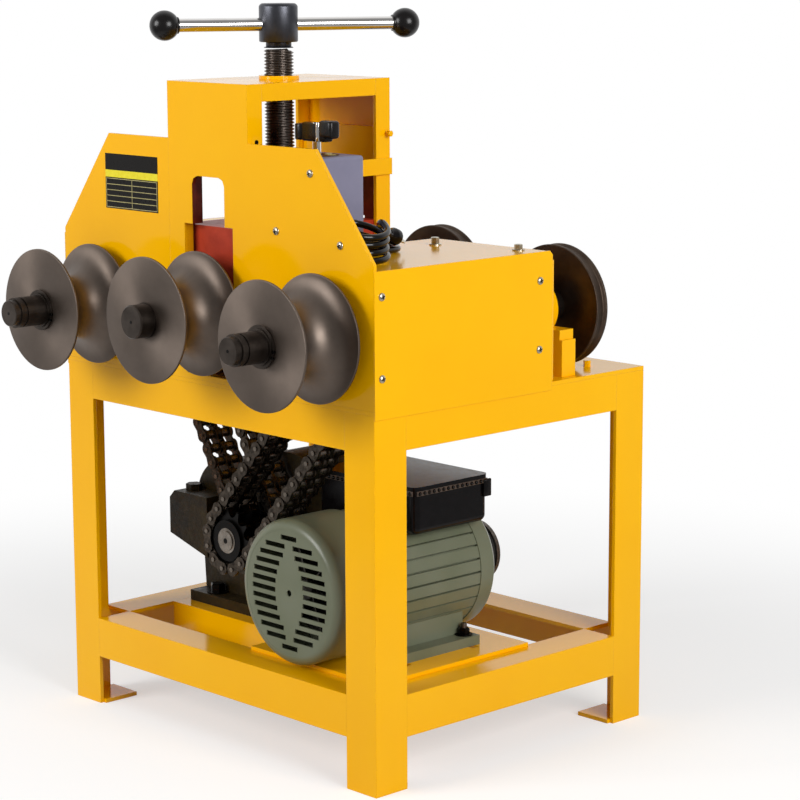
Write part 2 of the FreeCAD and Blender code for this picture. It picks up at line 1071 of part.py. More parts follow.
knobs = []
heading = math.radians(s.bar_angle.value)
for end, name in ((bar_start, "front"), (bar_end, "rear")):
    knob = doc.addObject("Part::Sphere", f"knob_{name}")
    bind(knob, "Radius", s.knob_radius)
    place(
        knob,
        end * math.cos(heading),
        s.screw_y + end * math.sin(heading),
        s.bar_height,
    )
    knobs.append(knob)
piece(
    "tommy_bar",
    join("bar_with_knobs", along_bar("bar_rod", bar_start, bar_end, s.bar_radius), *knobs),
)

nut_bore = s.screw_radius + s.run_gap
piece(
    "screw_nut",
    turn(
        "nut_turned",
        "Z",
        [
            (nut_bore, cap_bottom - 4),
            (s.nut_radius, cap_bottom - 4),
            (s.nut_radius, s.tower_height),
            (s.collar_radius, s.tower_height),
            (s.collar_radius, s.tower_height + s.collar_height),
            (nut_bore, s.tower_height + s.collar_height),
        ],
        (0, s.screw_y),
    ),
)

# The bearings of the side shafts.
journal = s.shaft_radius + s.run_gap
front_bearing_back = s.plate_wall + s.front_bearing_length
pillow_back = s.pillow_front + s.pillow_length
for side, name in ((-1, "left"), (1, "right")):
    x = s.shaft_spacing * side
    piece(
        f"bearing_front_{name}",
        turn(
            f"front_bearing_{name}",
            "Y",
            [
                (journal, s.plate_wall),
                (s.front_flange_radius, s.plate_wall),
                (s.front_flange_radius, s.plate_wall + s.front_flange_wall),
                (s.front_boss_radius, s.plate_wall + s.front_flange_wall),
                (s.front_boss_radius, front_bearing_back),
                (journal, front_bearing_back),
            ],
            (x, s.side_shaft_z),
        ),
    )
    riser = box(
        f"riser_{name}",
        (x - s.riser_half_length, x + s.riser_half_length),
        (s.pillow_front + 2, pillow_back - 2),
        (s.table_height, s.riser_top),
    )
    saddle = box(
        f"pillow_{name}_base",
        (x - s.riser_half_length + 4, x + s.riser_half_length - 4),
        (s.pillow_front + 2, pillow_back - 2),
        (s.riser_top, s.riser_top + 12),
    )
    hub = rod(
        f"pillow_{name}_ring",
        "Y",
        (x, s.side_shaft_z),
        (s.pillow_front, pillow_back),
        s.pillow_radius,
    )
    underside = box(
        f"pillow_{name}_under",
        (x - s.pillow_radius * 2, x + s.pillow_radius * 2),
        (s.pillow_front - 5, pillow_back + 5),
        (s.riser_top - s.pillow_radius, s.riser_top),
    )
    bore = through_hole(
        f"pillow_{name}_bore", x, s.side_shaft_z, s.pillow_front, pillow_back, journal
    )
    pillow = cut(
        f"pillow_{name}", join(f"pillow_{name}_blank", saddle, hub), underside, bore
    )
    piece(f"bearing_rear_{name}", riser, pillow)

# The sprockets and the duplex roller chains.
teeth = int(s.sprocket_teeth.value)
tooth_turn = 2 * math.pi / teeth


def tooth_outline(phase):
    """The rim of a roller-chain sprocket: round seats between pointed teeth."""
    seat = float(s.chain_roller_radius) + 0.1
    pitch = float(pitch_radius)
    tip = float(s.tooth_tip_radius)
    edges = []
    points = []
    for k in range(teeth):
        middle = phase + k * tooth_turn
        out = Vector(math.cos(middle), math.sin(middle), 0)
        side = Vector(-out.y, out.x, 0)
        spread = math.radians(62)
        seat_ends = [
            out * (pitch - seat * math.cos(spread)) + side * (turn_sign * seat * math.sin(spread))
            for turn_sign in (-1, 1)
        ]
        bottom = out * (pitch - seat)
        tip_angle = tooth_turn / 2 - math.radians(2.0)
        tips = [
            Vector(
                tip * math.cos(middle + turn_sign * tip_angle),
                tip * math.sin(middle + turn_sign * tip_angle),
                0,
            )
            for turn_sign in (-1, 1)
        ]
        points.append((tips[0], seat_ends[0], bottom, seat_ends[1], tips[1]))
    for k, (tip_in, seat_in, bottom, seat_out, tip_out) in enumerate(points):
        edges.append(Part.LineSegment(tip_in, seat_in).toShape())
        edges.append(Part.Arc(seat_in, bottom, seat_out).toShape())
        edges.append(Part.LineSegment(seat_out, tip_out).toShape())
        edges.append(Part.LineSegment(tip_out, points[(k + 1) % teeth][0]).toShape())
    return Part.Face(Part.Wire(edges))


def sprocket(name, x, z, first_rows, hub_front, hub_back, bore, phase):
    """A hub with two tooth rows for each chain, bored for its shaft."""
    face = tooth_outline(phase)
    rows = []
    for first in first_rows:
        for row in (0, 1):
            disc = face.extrude(Vector(0, 0, float(s.tooth_width)))
            disc.rotate(Vector(), Vector(1, 0, 0), 90)
            middle = float(first) + row * float(s.chain_row_pitch)
            disc.translate(Vector(float(x), middle + float(s.tooth_width) / 2, float(z)))
            rows.append(disc)
    hub = Part.makeCylinder(
        float(s.sprocket_hub_radius),
        float(hub_back - hub_front),
        Vector(float(x), float(hub_front), float(z)),
        Vector(0, 1, 0),
    )
    solid = hub.multiFuse(rows)
    hole = Part.makeCylinder(
        float(bore),
        float(hub_back - hub_front) + 20,
        Vector(float(x), float(hub_front) - 10, float(z)),
        Vector(0, 1, 0),
    )
    return formed(name, solid.cut(hole).removeSplitter())


output_bore = s.output_radius + s.fit_gap
hub_margin = chain_reach
right_last = s.right_chain_y + s.chain_row_pitch
left_last = s.left_chain_y + s.chain_row_pitch


def strand_heading(x):
    """The way from the output shaft to a roller shaft, as an angle in XZ."""
    return math.atan2(
        float(s.side_shaft_z - s.output_z), float(x) - float(s.output_x)
    )


right_phase = strand_heading(s.shaft_spacing) + math.pi / 2
left_phase = strand_heading(-s.shaft_spacing) + math.pi / 2
piece(
    "sprocket_right",
    sprocket(
        "right_sprocket",
        s.shaft_spacing,
        s.side_shaft_z,
        [s.right_chain_y],
        front_bearing_back + 0.3,
        right_last + hub_margin,
        sprocket_bore,
        right_phase,
    ),
)
piece(
    "sprocket_left",
    sprocket(
        "left_sprocket",
        -s.shaft_spacing,
        s.side_shaft_z,
        [s.left_chain_y],
        front_bearing_back + 0.3,
        left_last + hub_margin,
        sprocket_bore,
        left_phase,
    ),
)
piece(
    "output_sprocket",
    sprocket(
        "four_row_sprocket",
        s.output_x,
        s.output_z,
        [s.right_chain_y, s.left_chain_y],
        s.output_front + 2,
        s.left_chain_y + s.chain_row_pitch + 10,
        output_bore,
        right_phase,
    ),
)
case_bore_end = s.case_front + s.output_seat_depth
piece(
    "output_shaft",
    turn(
        "output_shaft_turned",
        "Y",
        [
            (0, s.output_front),
            (s.output_tip_radius, s.output_front),
            (s.output_tip_radius, s.output_front + 1.5),
            (s.output_radius, s.output_front + 1.5),
            (s.output_radius, case_bore_end - 1),
            (0, case_bore_end - 1),
        ],
        (s.output_x, s.output_z),
    ),
)


def link_plate(start, end, near, wall):
    """One chain plate between two pins, with the six corners of its outline."""
    run = (end - start).normalize()
    up = Vector(-run.z, 0, run.x)
    half = float(s.plate_height) / 2
    waist = half * 0.72
    nose = half * 0.9
    middle = (start + end) / 2
    corners = [
        start - run * nose,
        start + up * half,
        middle + up * waist,
        end + up * half,
        end + run * nose,
        end - up * half,
        middle - up * waist,
        start - up * half,
    ]
    shifted = [Vector(c.x, near, c.z) for c in corners]
    face = Part.Face(Part.makePolygon(shifted + shifted[:1]))
    return face.extrude(Vector(0, wall, 0))


def chain(name, shaft_x, first_row):
    """A duplex roller chain round two equal sprockets, its links at rest."""
    low = Vector(float(s.output_x), 0, float(s.output_z))
    high = Vector(float(shaft_x), 0, float(s.side_shaft_z))
    radius = float(pitch_radius)
    run = high - low
    span = run.Length
    run.normalize()
    side = Vector(-run.z, 0, run.x)
    total = 2 * span + 2 * math.pi * radius
    links = 2 * round(total / float(s.chain_pitch) / 2)
    step = total / links

    def pin(distance):
        distance %= total
        if distance < span:
            return low + side * radius + run * distance, distance, span - distance
        distance -= span
        if distance < math.pi * radius:
            angle = distance / radius
            return high + side * (radius * math.cos(angle)) + run * (
                radius * math.sin(angle)
            ), 0, 0
        distance -= math.pi * radius
        if distance < span:
            return high - side * radius - run * distance, distance, span - distance
        angle = (distance - span) / radius
        return low - side * (radius * math.cos(angle)) - run * (
            radius * math.sin(angle)
        ), 0, 0

    inner = float(s.inner_plate_offset)
    outer = float(s.outer_plate_offset)
    wall = float(s.chain_plate_wall)
    rows = [float(first_row), float(first_row) + float(s.chain_row_pitch)]
    solids = []
    clear = float(s.tooth_tip_radius) + float(s.chain_roller_radius)
    for k in range(links):
        start = pin(k * step)[0]
        end = pin((k + 1) * step)[0]
        if k % 2:
            for row in rows:
                solids.append(link_plate(start, end, row - inner - wall, wall))
                solids.append(link_plate(start, end, row + inner, wall))
        else:
            between = rows[1] - rows[0] - 2 * outer
            solids.append(link_plate(start, end, rows[0] - outer - wall, wall))
            solids.append(link_plate(start, end, rows[0] + outer, between))
            solids.append(link_plate(start, end, rows[1] + outer, wall))
        away = min((start - low).Length, (start - high).Length)
        if away > clear + 1:
            for row in rows:
                solids.append(chain_roller(start, row, inner - 0.1))
    return formed(name, Part.makeCompound(solids))


def chain_roller(at, row, half_length):
    """A roller between the inner plates, as a six-sided bar."""
    radius = float(s.chain_roller_radius) * 0.95
    corners = [
        Vector(
            at.x + radius * math.cos(k * math.pi / 3),
            row - half_length,
            at.z + radius * math.sin(k * math.pi / 3),
        )
        for k in range(6)
    ]
    face = Part.Face(Part.makePolygon(corners + corners[:1]))
    return face.extrude(Vector(0, 2 * half_length, 0))


piece("chain_right", chain("right_chain", s.shaft_spacing, s.right_chain_y))
piece("chain_left", chain("left_chain", -s.shaft_spacing, s.left_chain_y))

# The gear case.
case_span = (s.case_front, s.case_back)
case_base_right = s.motor_plate_left - 1.5
main_dome = rod("case_dome", "Y", (s.output_x, s.output_z), case_span, s.case_radius)
second_dome = rod(
    "case_second_dome",
    "Y",
    (s.case_second_x, s.case_second_z),
    (s.case_front + 10, s.case_back - 6),
    s.case_second_radius,
)
case_body = pad(
    "case_body",
    "XZ",
    [
        (s.case_second_x - s.case_second_radius * 0.8, s.deck_height),
        (case_base_right, s.deck_height),
        (case_base_right, motor_deck + 8),
        (s.case_right_cut, motor_deck + 30),
        (s.case_right_cut, s.output_z),
        (s.output_x, s.output_z + s.case_radius * 0.9),
        (s.case_second_x, s.case_second_z + s.case_second_radius * 0.9),
        (s.case_second_x - s.case_second_radius * 0.95, s.case_second_z),
    ],
    s.case_front + 14,
    s.case_back - s.case_front - 28,
)
lobe = pad(
    "case_lobe",
    "XZ",
    [
        (s.case_lobe_left, s.case_lobe_bottom + 14),
        (s.case_lobe_right, s.case_lobe_bottom - 8),
        (s.case_lobe_right, s.case_lobe_top),
        (s.case_lobe_left + 10, s.case_lobe_top),
        (s.case_lobe_left, s.case_lobe_top - 10),
    ],
    s.case_lobe_front,
    s.case_back - 30 - s.case_lobe_front,
)
case_foot = box(
    "case_foot",
    (s.case_second_x - s.case_second_radius * 0.8, case_base_right),
    (s.case_front - 14, s.case_back),
    (s.deck_height, s.deck_height + s.case_foot_wall),
)
case_trim = box(
    "case_trim",
    (s.case_right_cut, s.case_right_cut + s.case_radius * 2),
    (s.case_front - 30, s.case_back + 30),
    (s.deck_height - 5, s.output_z + s.case_radius * 2),
)
output_boss = rod(
    "case_output_boss",
    "Y",
    (s.output_x, s.output_z),
    (s.case_front - 6, s.case_front),
    34,
)
input_boss = rod(
    "case_input_boss",
    "Y",
    (s.input_x, s.input_z),
    (s.case_back - 10, s.case_back + 8),
    30,
)
case_floor = box(
    "case_floor",
    (s.case_lobe_left, s.case_right_cut + s.case_radius),
    (s.case_front - 30, s.case_back + 30),
    (s.deck_height - s.case_radius, s.deck_height),
)
plug = doc.addObject("Part::Prism", "case_plug")
plug.Polygon = 6
bind(plug, "Circumradius", Size("11", 11))
bind(plug, "Height", Size("8", 8))
place(plug, s.case_lobe_left + 22, s.case_lobe_front + 24, s.case_lobe_top)
case = cut(
    "case_bored",
    join(
        "case_casting",
        main_dome,
        second_dome,
        case_body,
        lobe,
        case_foot,
        output_boss,
        input_boss,
        plug,
    ),
    case_trim,
    case_floor,
    rod(
        "case_output_bore",
        "Y",
        (s.output_x, s.output_z),
        (s.case_front - 20, case_bore_end),
        s.output_radius + s.run_gap,
    ),
    rod(
        "case_input_bore",
        "Y",
        (s.input_x, s.input_z),
        (s.case_back - 30, s.case_back + 20),
        s.input_radius + s.run_gap,
    ),
)
piece("gear_case", case)

# The pulleys and the two belts.
pulley_back = s.pulley_front + s.pulley_length
groove_wide = s.belt_width + 0.6
first_belt = s.pulley_front + s.pulley_length / 2 - s.belt_pitch / 2
belt_rows = (first_belt, first_belt + s.belt_pitch)


def pulley(name, x, z, radius, bore):
    """A pulley with two belt grooves, each with sloped sides."""
    floor = radius - s.belt_wall - 3
    rim = [(bore, s.pulley_front), (radius, s.pulley_front)]
    for row in belt_rows:
        rim += [
            (radius, row - groove_wide / 2),
            (floor, row - groove_wide / 2),
            (floor, row + groove_wide / 2),
            (radius, row + groove_wide / 2),
        ]
    rim += [(radius, pulley_back), (bore, pulley_back)]
    return turn(name, "Y", rim, (x, z))


def belt(row):
    """One belt round the two pulleys, seated in their grooves."""
    gap = 0.3
    small = float(s.motor_pulley_radius - s.belt_wall - 3) + gap
    large = float(s.input_pulley_radius - s.belt_wall - 3) + gap
    faces = []
    for grow in (float(s.belt_wall), 0):
        first = Vector(float(s.motor_x), 0, float(motor_z))
        second = Vector(float(s.input_x), 0, float(s.input_z))
        faces.append(loop_face(first, small + grow, second, large + grow))
    ring = faces[0].cut(faces[1])
    ring.translate(Vector(0, float(row) - float(s.belt_width) / 2, 0))
    return ring.extrude(Vector(0, float(s.belt_width), 0))


def loop_face(first, first_radius, second, second_radius):
    """The face inside an open belt line drawn round two circles."""
    run = second - first
    span = run.Length
    run.normalize()
    side = Vector(-run.z, 0, run.x)
    lean = math.asin((second_radius - first_radius) / span)
    arcs = []
    for turn_sign in (1, -1):
        normal = side * (turn_sign * math.cos(lean)) - run * math.sin(lean)
        arcs.append((first + normal * first_radius, second + normal * second_radius))
    (first_up, second_up), (first_down, second_down) = arcs
    edges = [
        Part.LineSegment(first_up, second_up).toShape(),
        Part.Arc(second_up, second + run * second_radius, second_down).toShape(),
        Part.LineSegment(second_down, first_down).toShape(),
        Part.Arc(first_down, first - run * first_radius, first_up).toShape(),
    ]
    return Part.Face(Part.Wire(edges))


piece(
    "input_pulley",
    rod(
        "input_rod",
        "Y",
        (s.input_x, s.input_z),
        (s.case_back - 29, pulley_back + 3),
        s.input_radius,
    ),
    pulley(
        "input_pulley_turned",
        s.input_x,
        s.input_z,
        s.input_pulley_radius,
        s.input_radius + s.fit_gap,
    ),
)
piece(
    "motor_pulley",
    pulley(
        "motor_pulley_turned",
        s.motor_x,
        motor_z,
        s.motor_pulley_radius,
        s.rotor_radius + s.fit_gap,
    ),
)
piece("drive_belts", *[formed(f"belt_{i}", belt(r)) for i, r in enumerate(belt_rows)])

# The motor with its capacitor box.
cowl_back = s.cowl_front + s.cowl_depth
cowl = turn(
    "cowl_shell",
    "Y",
    [
        (0, s.cowl_front),
        (s.cowl_radius - s.cowl_round, s.cowl_front),
        (s.cowl_radius - s.cowl_round * 0.3, s.cowl_front + s.cowl_round * 0.3),
        (s.cowl_radius, s.cowl_front + s.cowl_round),
        (s.cowl_radius, cowl_back),
        (s.cowl_radius - s.cowl_wall, cowl_back),
        (s.cowl_radius - s.cowl_wall, s.cowl_front + s.cowl_round),
        (
            s.cowl_radius - s.cowl_wall - s.cowl_round * 0.3,
            s.cowl_front + s.cowl_wall + s.cowl_round * 0.3,
        ),
        (s.cowl_radius - s.cowl_wall - s.cowl_round, s.cowl_front + s.cowl_wall),
        (0, s.cowl_front + s.cowl_wall),
    ],
    (s.motor_x, motor_z),
)
vents = []
for row in range(-6, 7):
    if abs(row) == 6:
        spans = [("middle", -14, 14)]
    else:
        far = 67 * math.sqrt(1 - (row / 6.4) ** 2)
        near = max(7, far - 42)
        spans = [("left", -far, -near), ("right", near, far)]
    for side, near, far in spans:
        vents.append(
            box(
                f"vent_{row + 6}_{side}",
                (s.motor_x + near, s.motor_x + far),
                (s.cowl_front - 5, s.cowl_front + s.cowl_wall + 5),
                (
                    motor_z + s.vent_pitch * row - s.vent_height / 2,
                    motor_z + s.vent_pitch * row + s.vent_height / 2,
                ),
            )
        )
vents.append(through_hole("cowl_hole", s.motor_x, motor_z, s.cowl_front, s.cowl_front, 4))
piece("fan_cowl", cut("cowl_vented", cowl, *vents))


def finned_tube():
    """The motor's ribbed body, its outline a ring of straight fins."""
    outer = float(s.motor_body_radius)
    inner = outer - float(s.fin_depth)
    count = int(s.fin_count.value)
    corners = []
    for k in range(count):
        middle = (k + 0.5) * 2 * math.pi / count
        for radius, share in ((inner, -0.44), (outer, -0.42), (outer, 0.42), (inner, 0.44)):
            angle = middle + share * 2 * math.pi / count
            corners.append(
                Vector(
                    float(s.motor_x) + radius * math.cos(angle),
                    float(cowl_back),
                    float(motor_z) + radius * math.sin(angle),
                )
            )
    face = Part.Face(Part.makePolygon(corners + corners[:1]))
    length = float(s.motor_shoulder - cowl_back) - 34
    return formed("motor_fins", face.extrude(Vector(0, length, 0)))


spigot = rod(
    "motor_spigot",
    "Y",
    (s.motor_x, motor_z),
    (cowl_back - 10, cowl_back + 6),
    s.cowl_radius - s.cowl_wall - 0.3,
)
bell_front = s.motor_shoulder - 34
bell = turn(
    "motor_bell",
    "Y",
    [
        (0, bell_front),
        (s.motor_body_radius + 1, bell_front),
        (s.motor_body_radius + 1, s.motor_shoulder - 12),
        (s.motor_body_radius - 10, s.motor_shoulder),
        (28, s.motor_shoulder),
        (28, s.motor_shoulder + 5),
        (0, s.motor_shoulder + 5),
    ],
    (s.motor_x, motor_z),
)
feet = []
for side in (-1, 1):
    reach = s.motor_foot_right if side == 1 else s.motor_foot_left
    near = s.motor_foot_inner * side
    limits = (s.motor_x + near, s.motor_x + reach)
    if side == -1:
        limits = (s.motor_x + reach, s.motor_x + near)
    name = "right" if side == 1 else "left"
    feet.append(
        box(
            f"motor_foot_{name}",
            limits,
            (s.motor_foot_front, s.motor_foot_back),
            (motor_deck, motor_deck + s.motor_foot_wall),
        )
    )
    feet.append(
        pad(
            f"motor_foot_web_{name}",
            "XZ",
            [
                (s.motor_x + s.motor_web_inner * side, motor_deck),
                (s.motor_x + s.motor_web_outer * side, motor_deck),
                (s.motor_x + s.motor_web_outer * side, motor_z - s.motor_web_drop - 8),
                (s.motor_x + s.motor_web_inner * side, motor_z - s.motor_web_drop),
            ],
            s.motor_foot_front + 8,
            s.motor_foot_back - s.motor_foot_front - 16,
        )
    )
rotor_bore = rod(
    "rotor_bore",
    "Y",
    (s.motor_x, motor_z),
    (cowl_back - 15, s.motor_shoulder + 20),
    s.rotor_radius + s.run_gap,
)
piece(
    "motor_frame",
    cut("motor_bored", join("motor_casting", finned_tube(), spigot, bell, *feet), rotor_bore),
)

fan_front = s.cowl_front + 30
rotor = rod(
    "rotor_shaft",
    "Y",
    (s.motor_x, motor_z),
    (fan_front - 4, pulley_back + 3),
    s.rotor_radius,
)
blades = []
for k in range(6):
    blade = doc.addObject("Part::Box", f"fan_blade_{k}")
    bind(blade, "Length", s.fan_radius - 10)
    bind(blade, "Width", s.fan_blade_length)
    bind(blade, "Height", s.fan_blade_wall)
    angle = 60 * k + 10
    blade.Placement = FreeCAD.Placement(
        Vector(), FreeCAD.Rotation(Vector(0, 1, 0), angle)
    )
    lift = math.radians(angle)
    place(
        blade,
        s.motor_x + 10 * math.cos(lift),
        fan_front + 3,
        motor_z - 10 * math.sin(lift),
    )
    blades.append(blade)
fan_disc = rod(
    "fan_disc", "Y", (s.motor_x, motor_z), (fan_front + 28, fan_front + 31), s.fan_radius
)
piece("motor_rotor", join("rotor", rotor, fan_disc, *blades))

saddle_radius = s.motor_body_radius + 1
box_bottom = motor_z + saddle_radius * 0.72
box_limits = (s.motor_x + s.box_left, s.motor_x + s.box_right)
body_blank = pad(
    "capacitor_blank",
    "XY",
    [
        (box_limits[0], s.box_front),
        (box_limits[1], s.box_front),
        (box_limits[1], s.box_back),
        (box_limits[0], s.box_back),
    ],
    box_bottom,
    s.box_seam - box_bottom,
)
box_height = float(s.box_seam - box_bottom)
rounded(
    body_blank,
    s.box_round,
    lambda edge: edge.BoundBox.ZMax < box_height - 1 or edge.BoundBox.ZLength > 1,
)
saddle_cut = rod(
    "capacitor_saddle",
    "Y",
    (s.motor_x, motor_z),
    (s.box_front - 5, s.box_back + 5),
    saddle_radius + 0.3,
)
piece("capacitor_box", cut("capacitor_body", body_blank, saddle_cut))
lid_lip = s.box_lip
lid = pad(
    "capacitor_cover",
    "XY",
    [
        (box_limits[0] - lid_lip, s.box_front - lid_lip),
        (box_limits[1] + lid_lip, s.box_front - lid_lip),
        (box_limits[1] + lid_lip, s.box_back + lid_lip),
        (box_limits[0] - lid_lip, s.box_back + lid_lip),
    ],
    s.box_seam,
    s.box_top - s.box_seam,
)
rounded(lid, s.box_round + lid_lip, lambda edge: edge.BoundBox.ZLength > 1)
piece("capacitor_lid", lid)

# The drum switch and its cord.
piece(
    "switch_bracket",
    box(
        "bracket_bar",
        (half_tower, half_tower + s.bracket_wall),
        (s.plate_wall, s.tower_depth),
        (s.bracket_bottom, s.bracket_top),
    ),
)
switch_top = s.cover_top + s.switch_height
switch_body = pad(
    "switch_case",
    "XY",
    [
        (s.switch_left, s.switch_front),
        (s.switch_right, s.switch_front),
        (s.switch_right, s.switch_back),
        (s.switch_left, s.switch_back),
    ],
    s.cover_top,
    s.switch_height,
)
rounded(switch_body, s.switch_round, lambda edge: True)
shifted_bore = rod(
    "switch_bore",
    "Z",
    (s.stem_x, s.stem_y),
    (switch_top - 20, switch_top + 5),
    s.stem_radius + s.run_gap,
)
piece("switch_box", cut("switch_case_bored", switch_body, shifted_bore))
stem = rod(
    "switch_stem",
    "Z",
    (s.stem_x, s.stem_y),
    (switch_top - 19, switch_top + s.stem_length),
    s.stem_radius,
)
grip = pad(
    "switch_grip",
    "XZ",
    [
        (s.stem_x - s.grip_span * 0.32, switch_top + s.stem_length),
        (s.stem_x + s.grip_span * 0.32, switch_top + s.stem_length),
        (s.stem_x + s.grip_span / 2, switch_top + s.stem_length + s.grip_height * 0.6),
        (s.stem_x + s.grip_span / 2, switch_top + s.stem_length + s.grip_height),
        (s.stem_x - s.grip_span / 2, switch_top + s.stem_length + s.grip_height),
        (s.stem_x - s.grip_span / 2, switch_top + s.stem_length + s.grip_height * 0.6),
    ],
    s.stem_y - s.grip_width / 2,
    s.grip_width,
)
piece("switch_handle", join("handle", stem, grip))

# The cord leaves the back of the switch box, turns back along the box's side
# and climbs into a coil whose turns lean more and more toward the box.
cord_diameter = s.cord_radius * 2
cord_rest = s.cover_top + s.cord_radius + 0.6
coil_low_x = s.switch_left + 21.2 + s.lead_width + s.coil_radius * 2 - 2


def coil_point(turn_count):
    """A point of the coil's centre line after so many turns."""
    lean = math.radians(float(s.coil_lean) + float(s.coil_lean_growth) * turn_count)
    low = float(cord_rest) + float(s.coil_pitch) * (turn_count - 0.5)
    size = float(s.coil_radius)
    angle = math.pi + 2 * math.pi * turn_count
    radius = size + float(s.coil_sway) * math.sin(2.3 * turn_count)
    out = radius * math.cos(angle) - size
    return Vector(
        float(coil_low_x) + out * math.cos(lean),
        float(s.coil_y) + radius * math.sin(angle),
        low - out * math.sin(lean),
    )


def coil_heading(turn_count):
    step = 0.002
    return (coil_point(turn_count + step) - coil_point(turn_count - step)).normalize()


def arc_from(start, heading, end):
    """The arc that leaves start along heading and passes through end."""
    chord = end - start
    if chord.cross(heading).Length < 1e-6 * chord.Length:
        return Part.LineSegment(start, end).toShape()
    half_turn = chord.getAngle(heading)
    bulge = heading - chord * (heading.dot(chord) / chord.dot(chord))
    bulge.normalize()
    rise = chord.Length / 2 * math.tan(half_turn / 2)
    return Part.Arc(start, (start + end) / 2 + bulge * rise, end).toShape()


def biarc(start, start_heading, end, end_heading):
    """Two arcs that join two points and meet each other in one direction."""
    chord = end - start
    both = start_heading + end_heading
    spread = 2 * (1 - start_heading.dot(end_heading))
    along = chord.dot(both)
    reach = (math.sqrt(along**2 + spread * chord.dot(chord)) - along) / spread
    first = start + start_heading * reach
    second = end - end_heading * reach
    joint = (first + second) / 2
    joint_heading = (second - first).normalize()
    return [
        arc_from(start, start_heading, joint),
        arc_from(joint, joint_heading, end),
    ]


def round_section(at, heading, sides):
    """A regular section of the cord, square to its run, as wide as the cord."""
    across = heading.cross(Vector(0, 0, 1)).normalize()
    up = across.cross(heading).normalize()
    radius = float(s.cord_radius)
    corners = [
        at
        + across * (radius * math.cos(2 * math.pi * k / sides))
        + up * (radius * math.sin(2 * math.pi * k / sides))
        for k in range(sides)
    ]
    return Part.makePolygon(corners + corners[:1])


def tube(edges, at, heading, sides):
    shell = Part.BRepOffsetAPI.MakePipeShell(Part.Wire(edges))
    shell.add(round_section(at, heading, sides))
    shell.build()
    shell.makeSolid()
    return shell.shape()


coil_end = float(s.coil_turns)
quarters = [0.25 * k for k in range(int(coil_end / 0.25) + 1)] + [coil_end]
lead_in = coil_point(0) - coil_heading(0.003) * float(cord_diameter)
out_heading = coil_heading(coil_end - 0.003)
lead_out = coil_point(coil_end) + out_heading
coil_edges = [Part.LineSegment(lead_in, coil_point(0)).toShape()]
for start, end in zip(quarters, quarters[1:]):
    first_heading = coil_heading(start) if start else coil_heading(0.003)
    last_heading = coil_heading(end) if end < coil_end else coil_heading(coil_end - 0.003)
    coil_edges += biarc(coil_point(start), first_heading, coil_point(end), last_heading)
coil_edges.append(Part.LineSegment(coil_point(coil_end), lead_out).toShape())
coil_solid = tube(coil_edges, lead_in, coil_heading(0.003), 8)
piece("cord_coil", formed("coil", coil_solid))

# The gap between turns is measured on points half a turn or more apart.
samples = [coil_point(k / 90) for k in range(int(coil_end * 90) + 1)]
least = min(
    (samples[i] - samples[j]).Length
    for i in range(len(samples))
    for j in range(i + 45, len(samples))
)
print(f"coil: least gap {least - float(cord_diameter):.2f} mm")

gland_z = s.cover_top + 9.5
fall = float(gland_z - cord_rest)


def run_on(start, runs):
    """Corners reached from start by runs of a length, a way and a rise each."""
    corners = [start]
    for length, way, rise in runs:
        turned = math.radians(way)
        step = Vector(length * math.cos(turned), length * math.sin(turned), rise)
        corners.append(corners[-1] + step)
    return corners


side_run = float(s.lead_width) / 3.732
out_of_gland = run_on(
    Vector(lead_in.x - float(s.lead_width), float(s.switch_back) + 20, float(gland_z)),
    [
        (20, 90, 0),
        (side_run, 60, -fall / 2),
        (side_run, 30, -fall / 2),
        (side_run, 0, 0),
        (side_run, -30, 0),
        (side_run, -60, 0),
    ],
)
route = out_of_gland + [lead_in - coil_heading(0.003) * 24, lead_in]
tail = [lead_out] + run_on(
    lead_out + out_heading * 10,
    [(14, 150, 2.5), (15, 134, -2.5), (15, 118, -6), (13, 104, -2)],
)


def bent_edges(corners):
    """Straight runs joined by arcs as large as the runs allow."""
    edges = []
    last = corners[0]
    for before, at, after in zip(corners, corners[1:], corners[2:]):
        come = (at - before)
        leave = (after - at)
        half_turn = come.getAngle(leave) / 2
        reach = 0.45 * min(come.Length, leave.Length)
        print(f"cord: radius {reach / math.tan(half_turn):.1f} mm")
        start = at - come.normalize() * reach
        end = at + leave.normalize() * reach
        edges.append(Part.LineSegment(last, start).toShape())
        edges.append(arc_from(start, come, end))
        last = end
    edges.append(Part.LineSegment(last, corners[-1]).toShape())
    return edges


gland_back = route[0].y
gland_end = gland_back + 7.5
route_edges = bent_edges(route)
first_stretch = tube(route_edges, route[0], (route[1] - route[0]).normalize(), 12)
tail_edges = bent_edges(tail)
second_stretch = tube(tail_edges, tail[0], (tail[1] - tail[0]).normalize(), 12)
for name, solid, length in (
    ("first", first_stretch, sum(e.Length for e in route_edges)),
    ("second", second_stretch, sum(e.Length for e in tail_edges)),
):
    area = 3 * float(s.cord_radius) ** 2
    print(f"cord: {name} stretch {length:.1f} mm, volume {solid.Volume / area / length:.4f}")
print(f"cord: coil {sum(e.Length for e in coil_edges):.0f} mm")
piece(
    "power_cord",
    formed("cord_first", first_stretch),
    formed("cord_second", second_stretch),
)
piece(
    "cord_gland",
    turn(
        "gland_turned",
        "Y",
        [
            (0, s.switch_back),
            (9, s.switch_back),
            (9, s.switch_back + 4),
            (7.2, s.switch_back + 4),
            (5.4, gland_end),
            (s.cord_radius + 0.2, gland_end),
            (s.cord_radius + 0.2, gland_back - 0.3),
            (0, gland_back - 0.3),
        ],
        (route[0].x, gland_z),
    ),
)


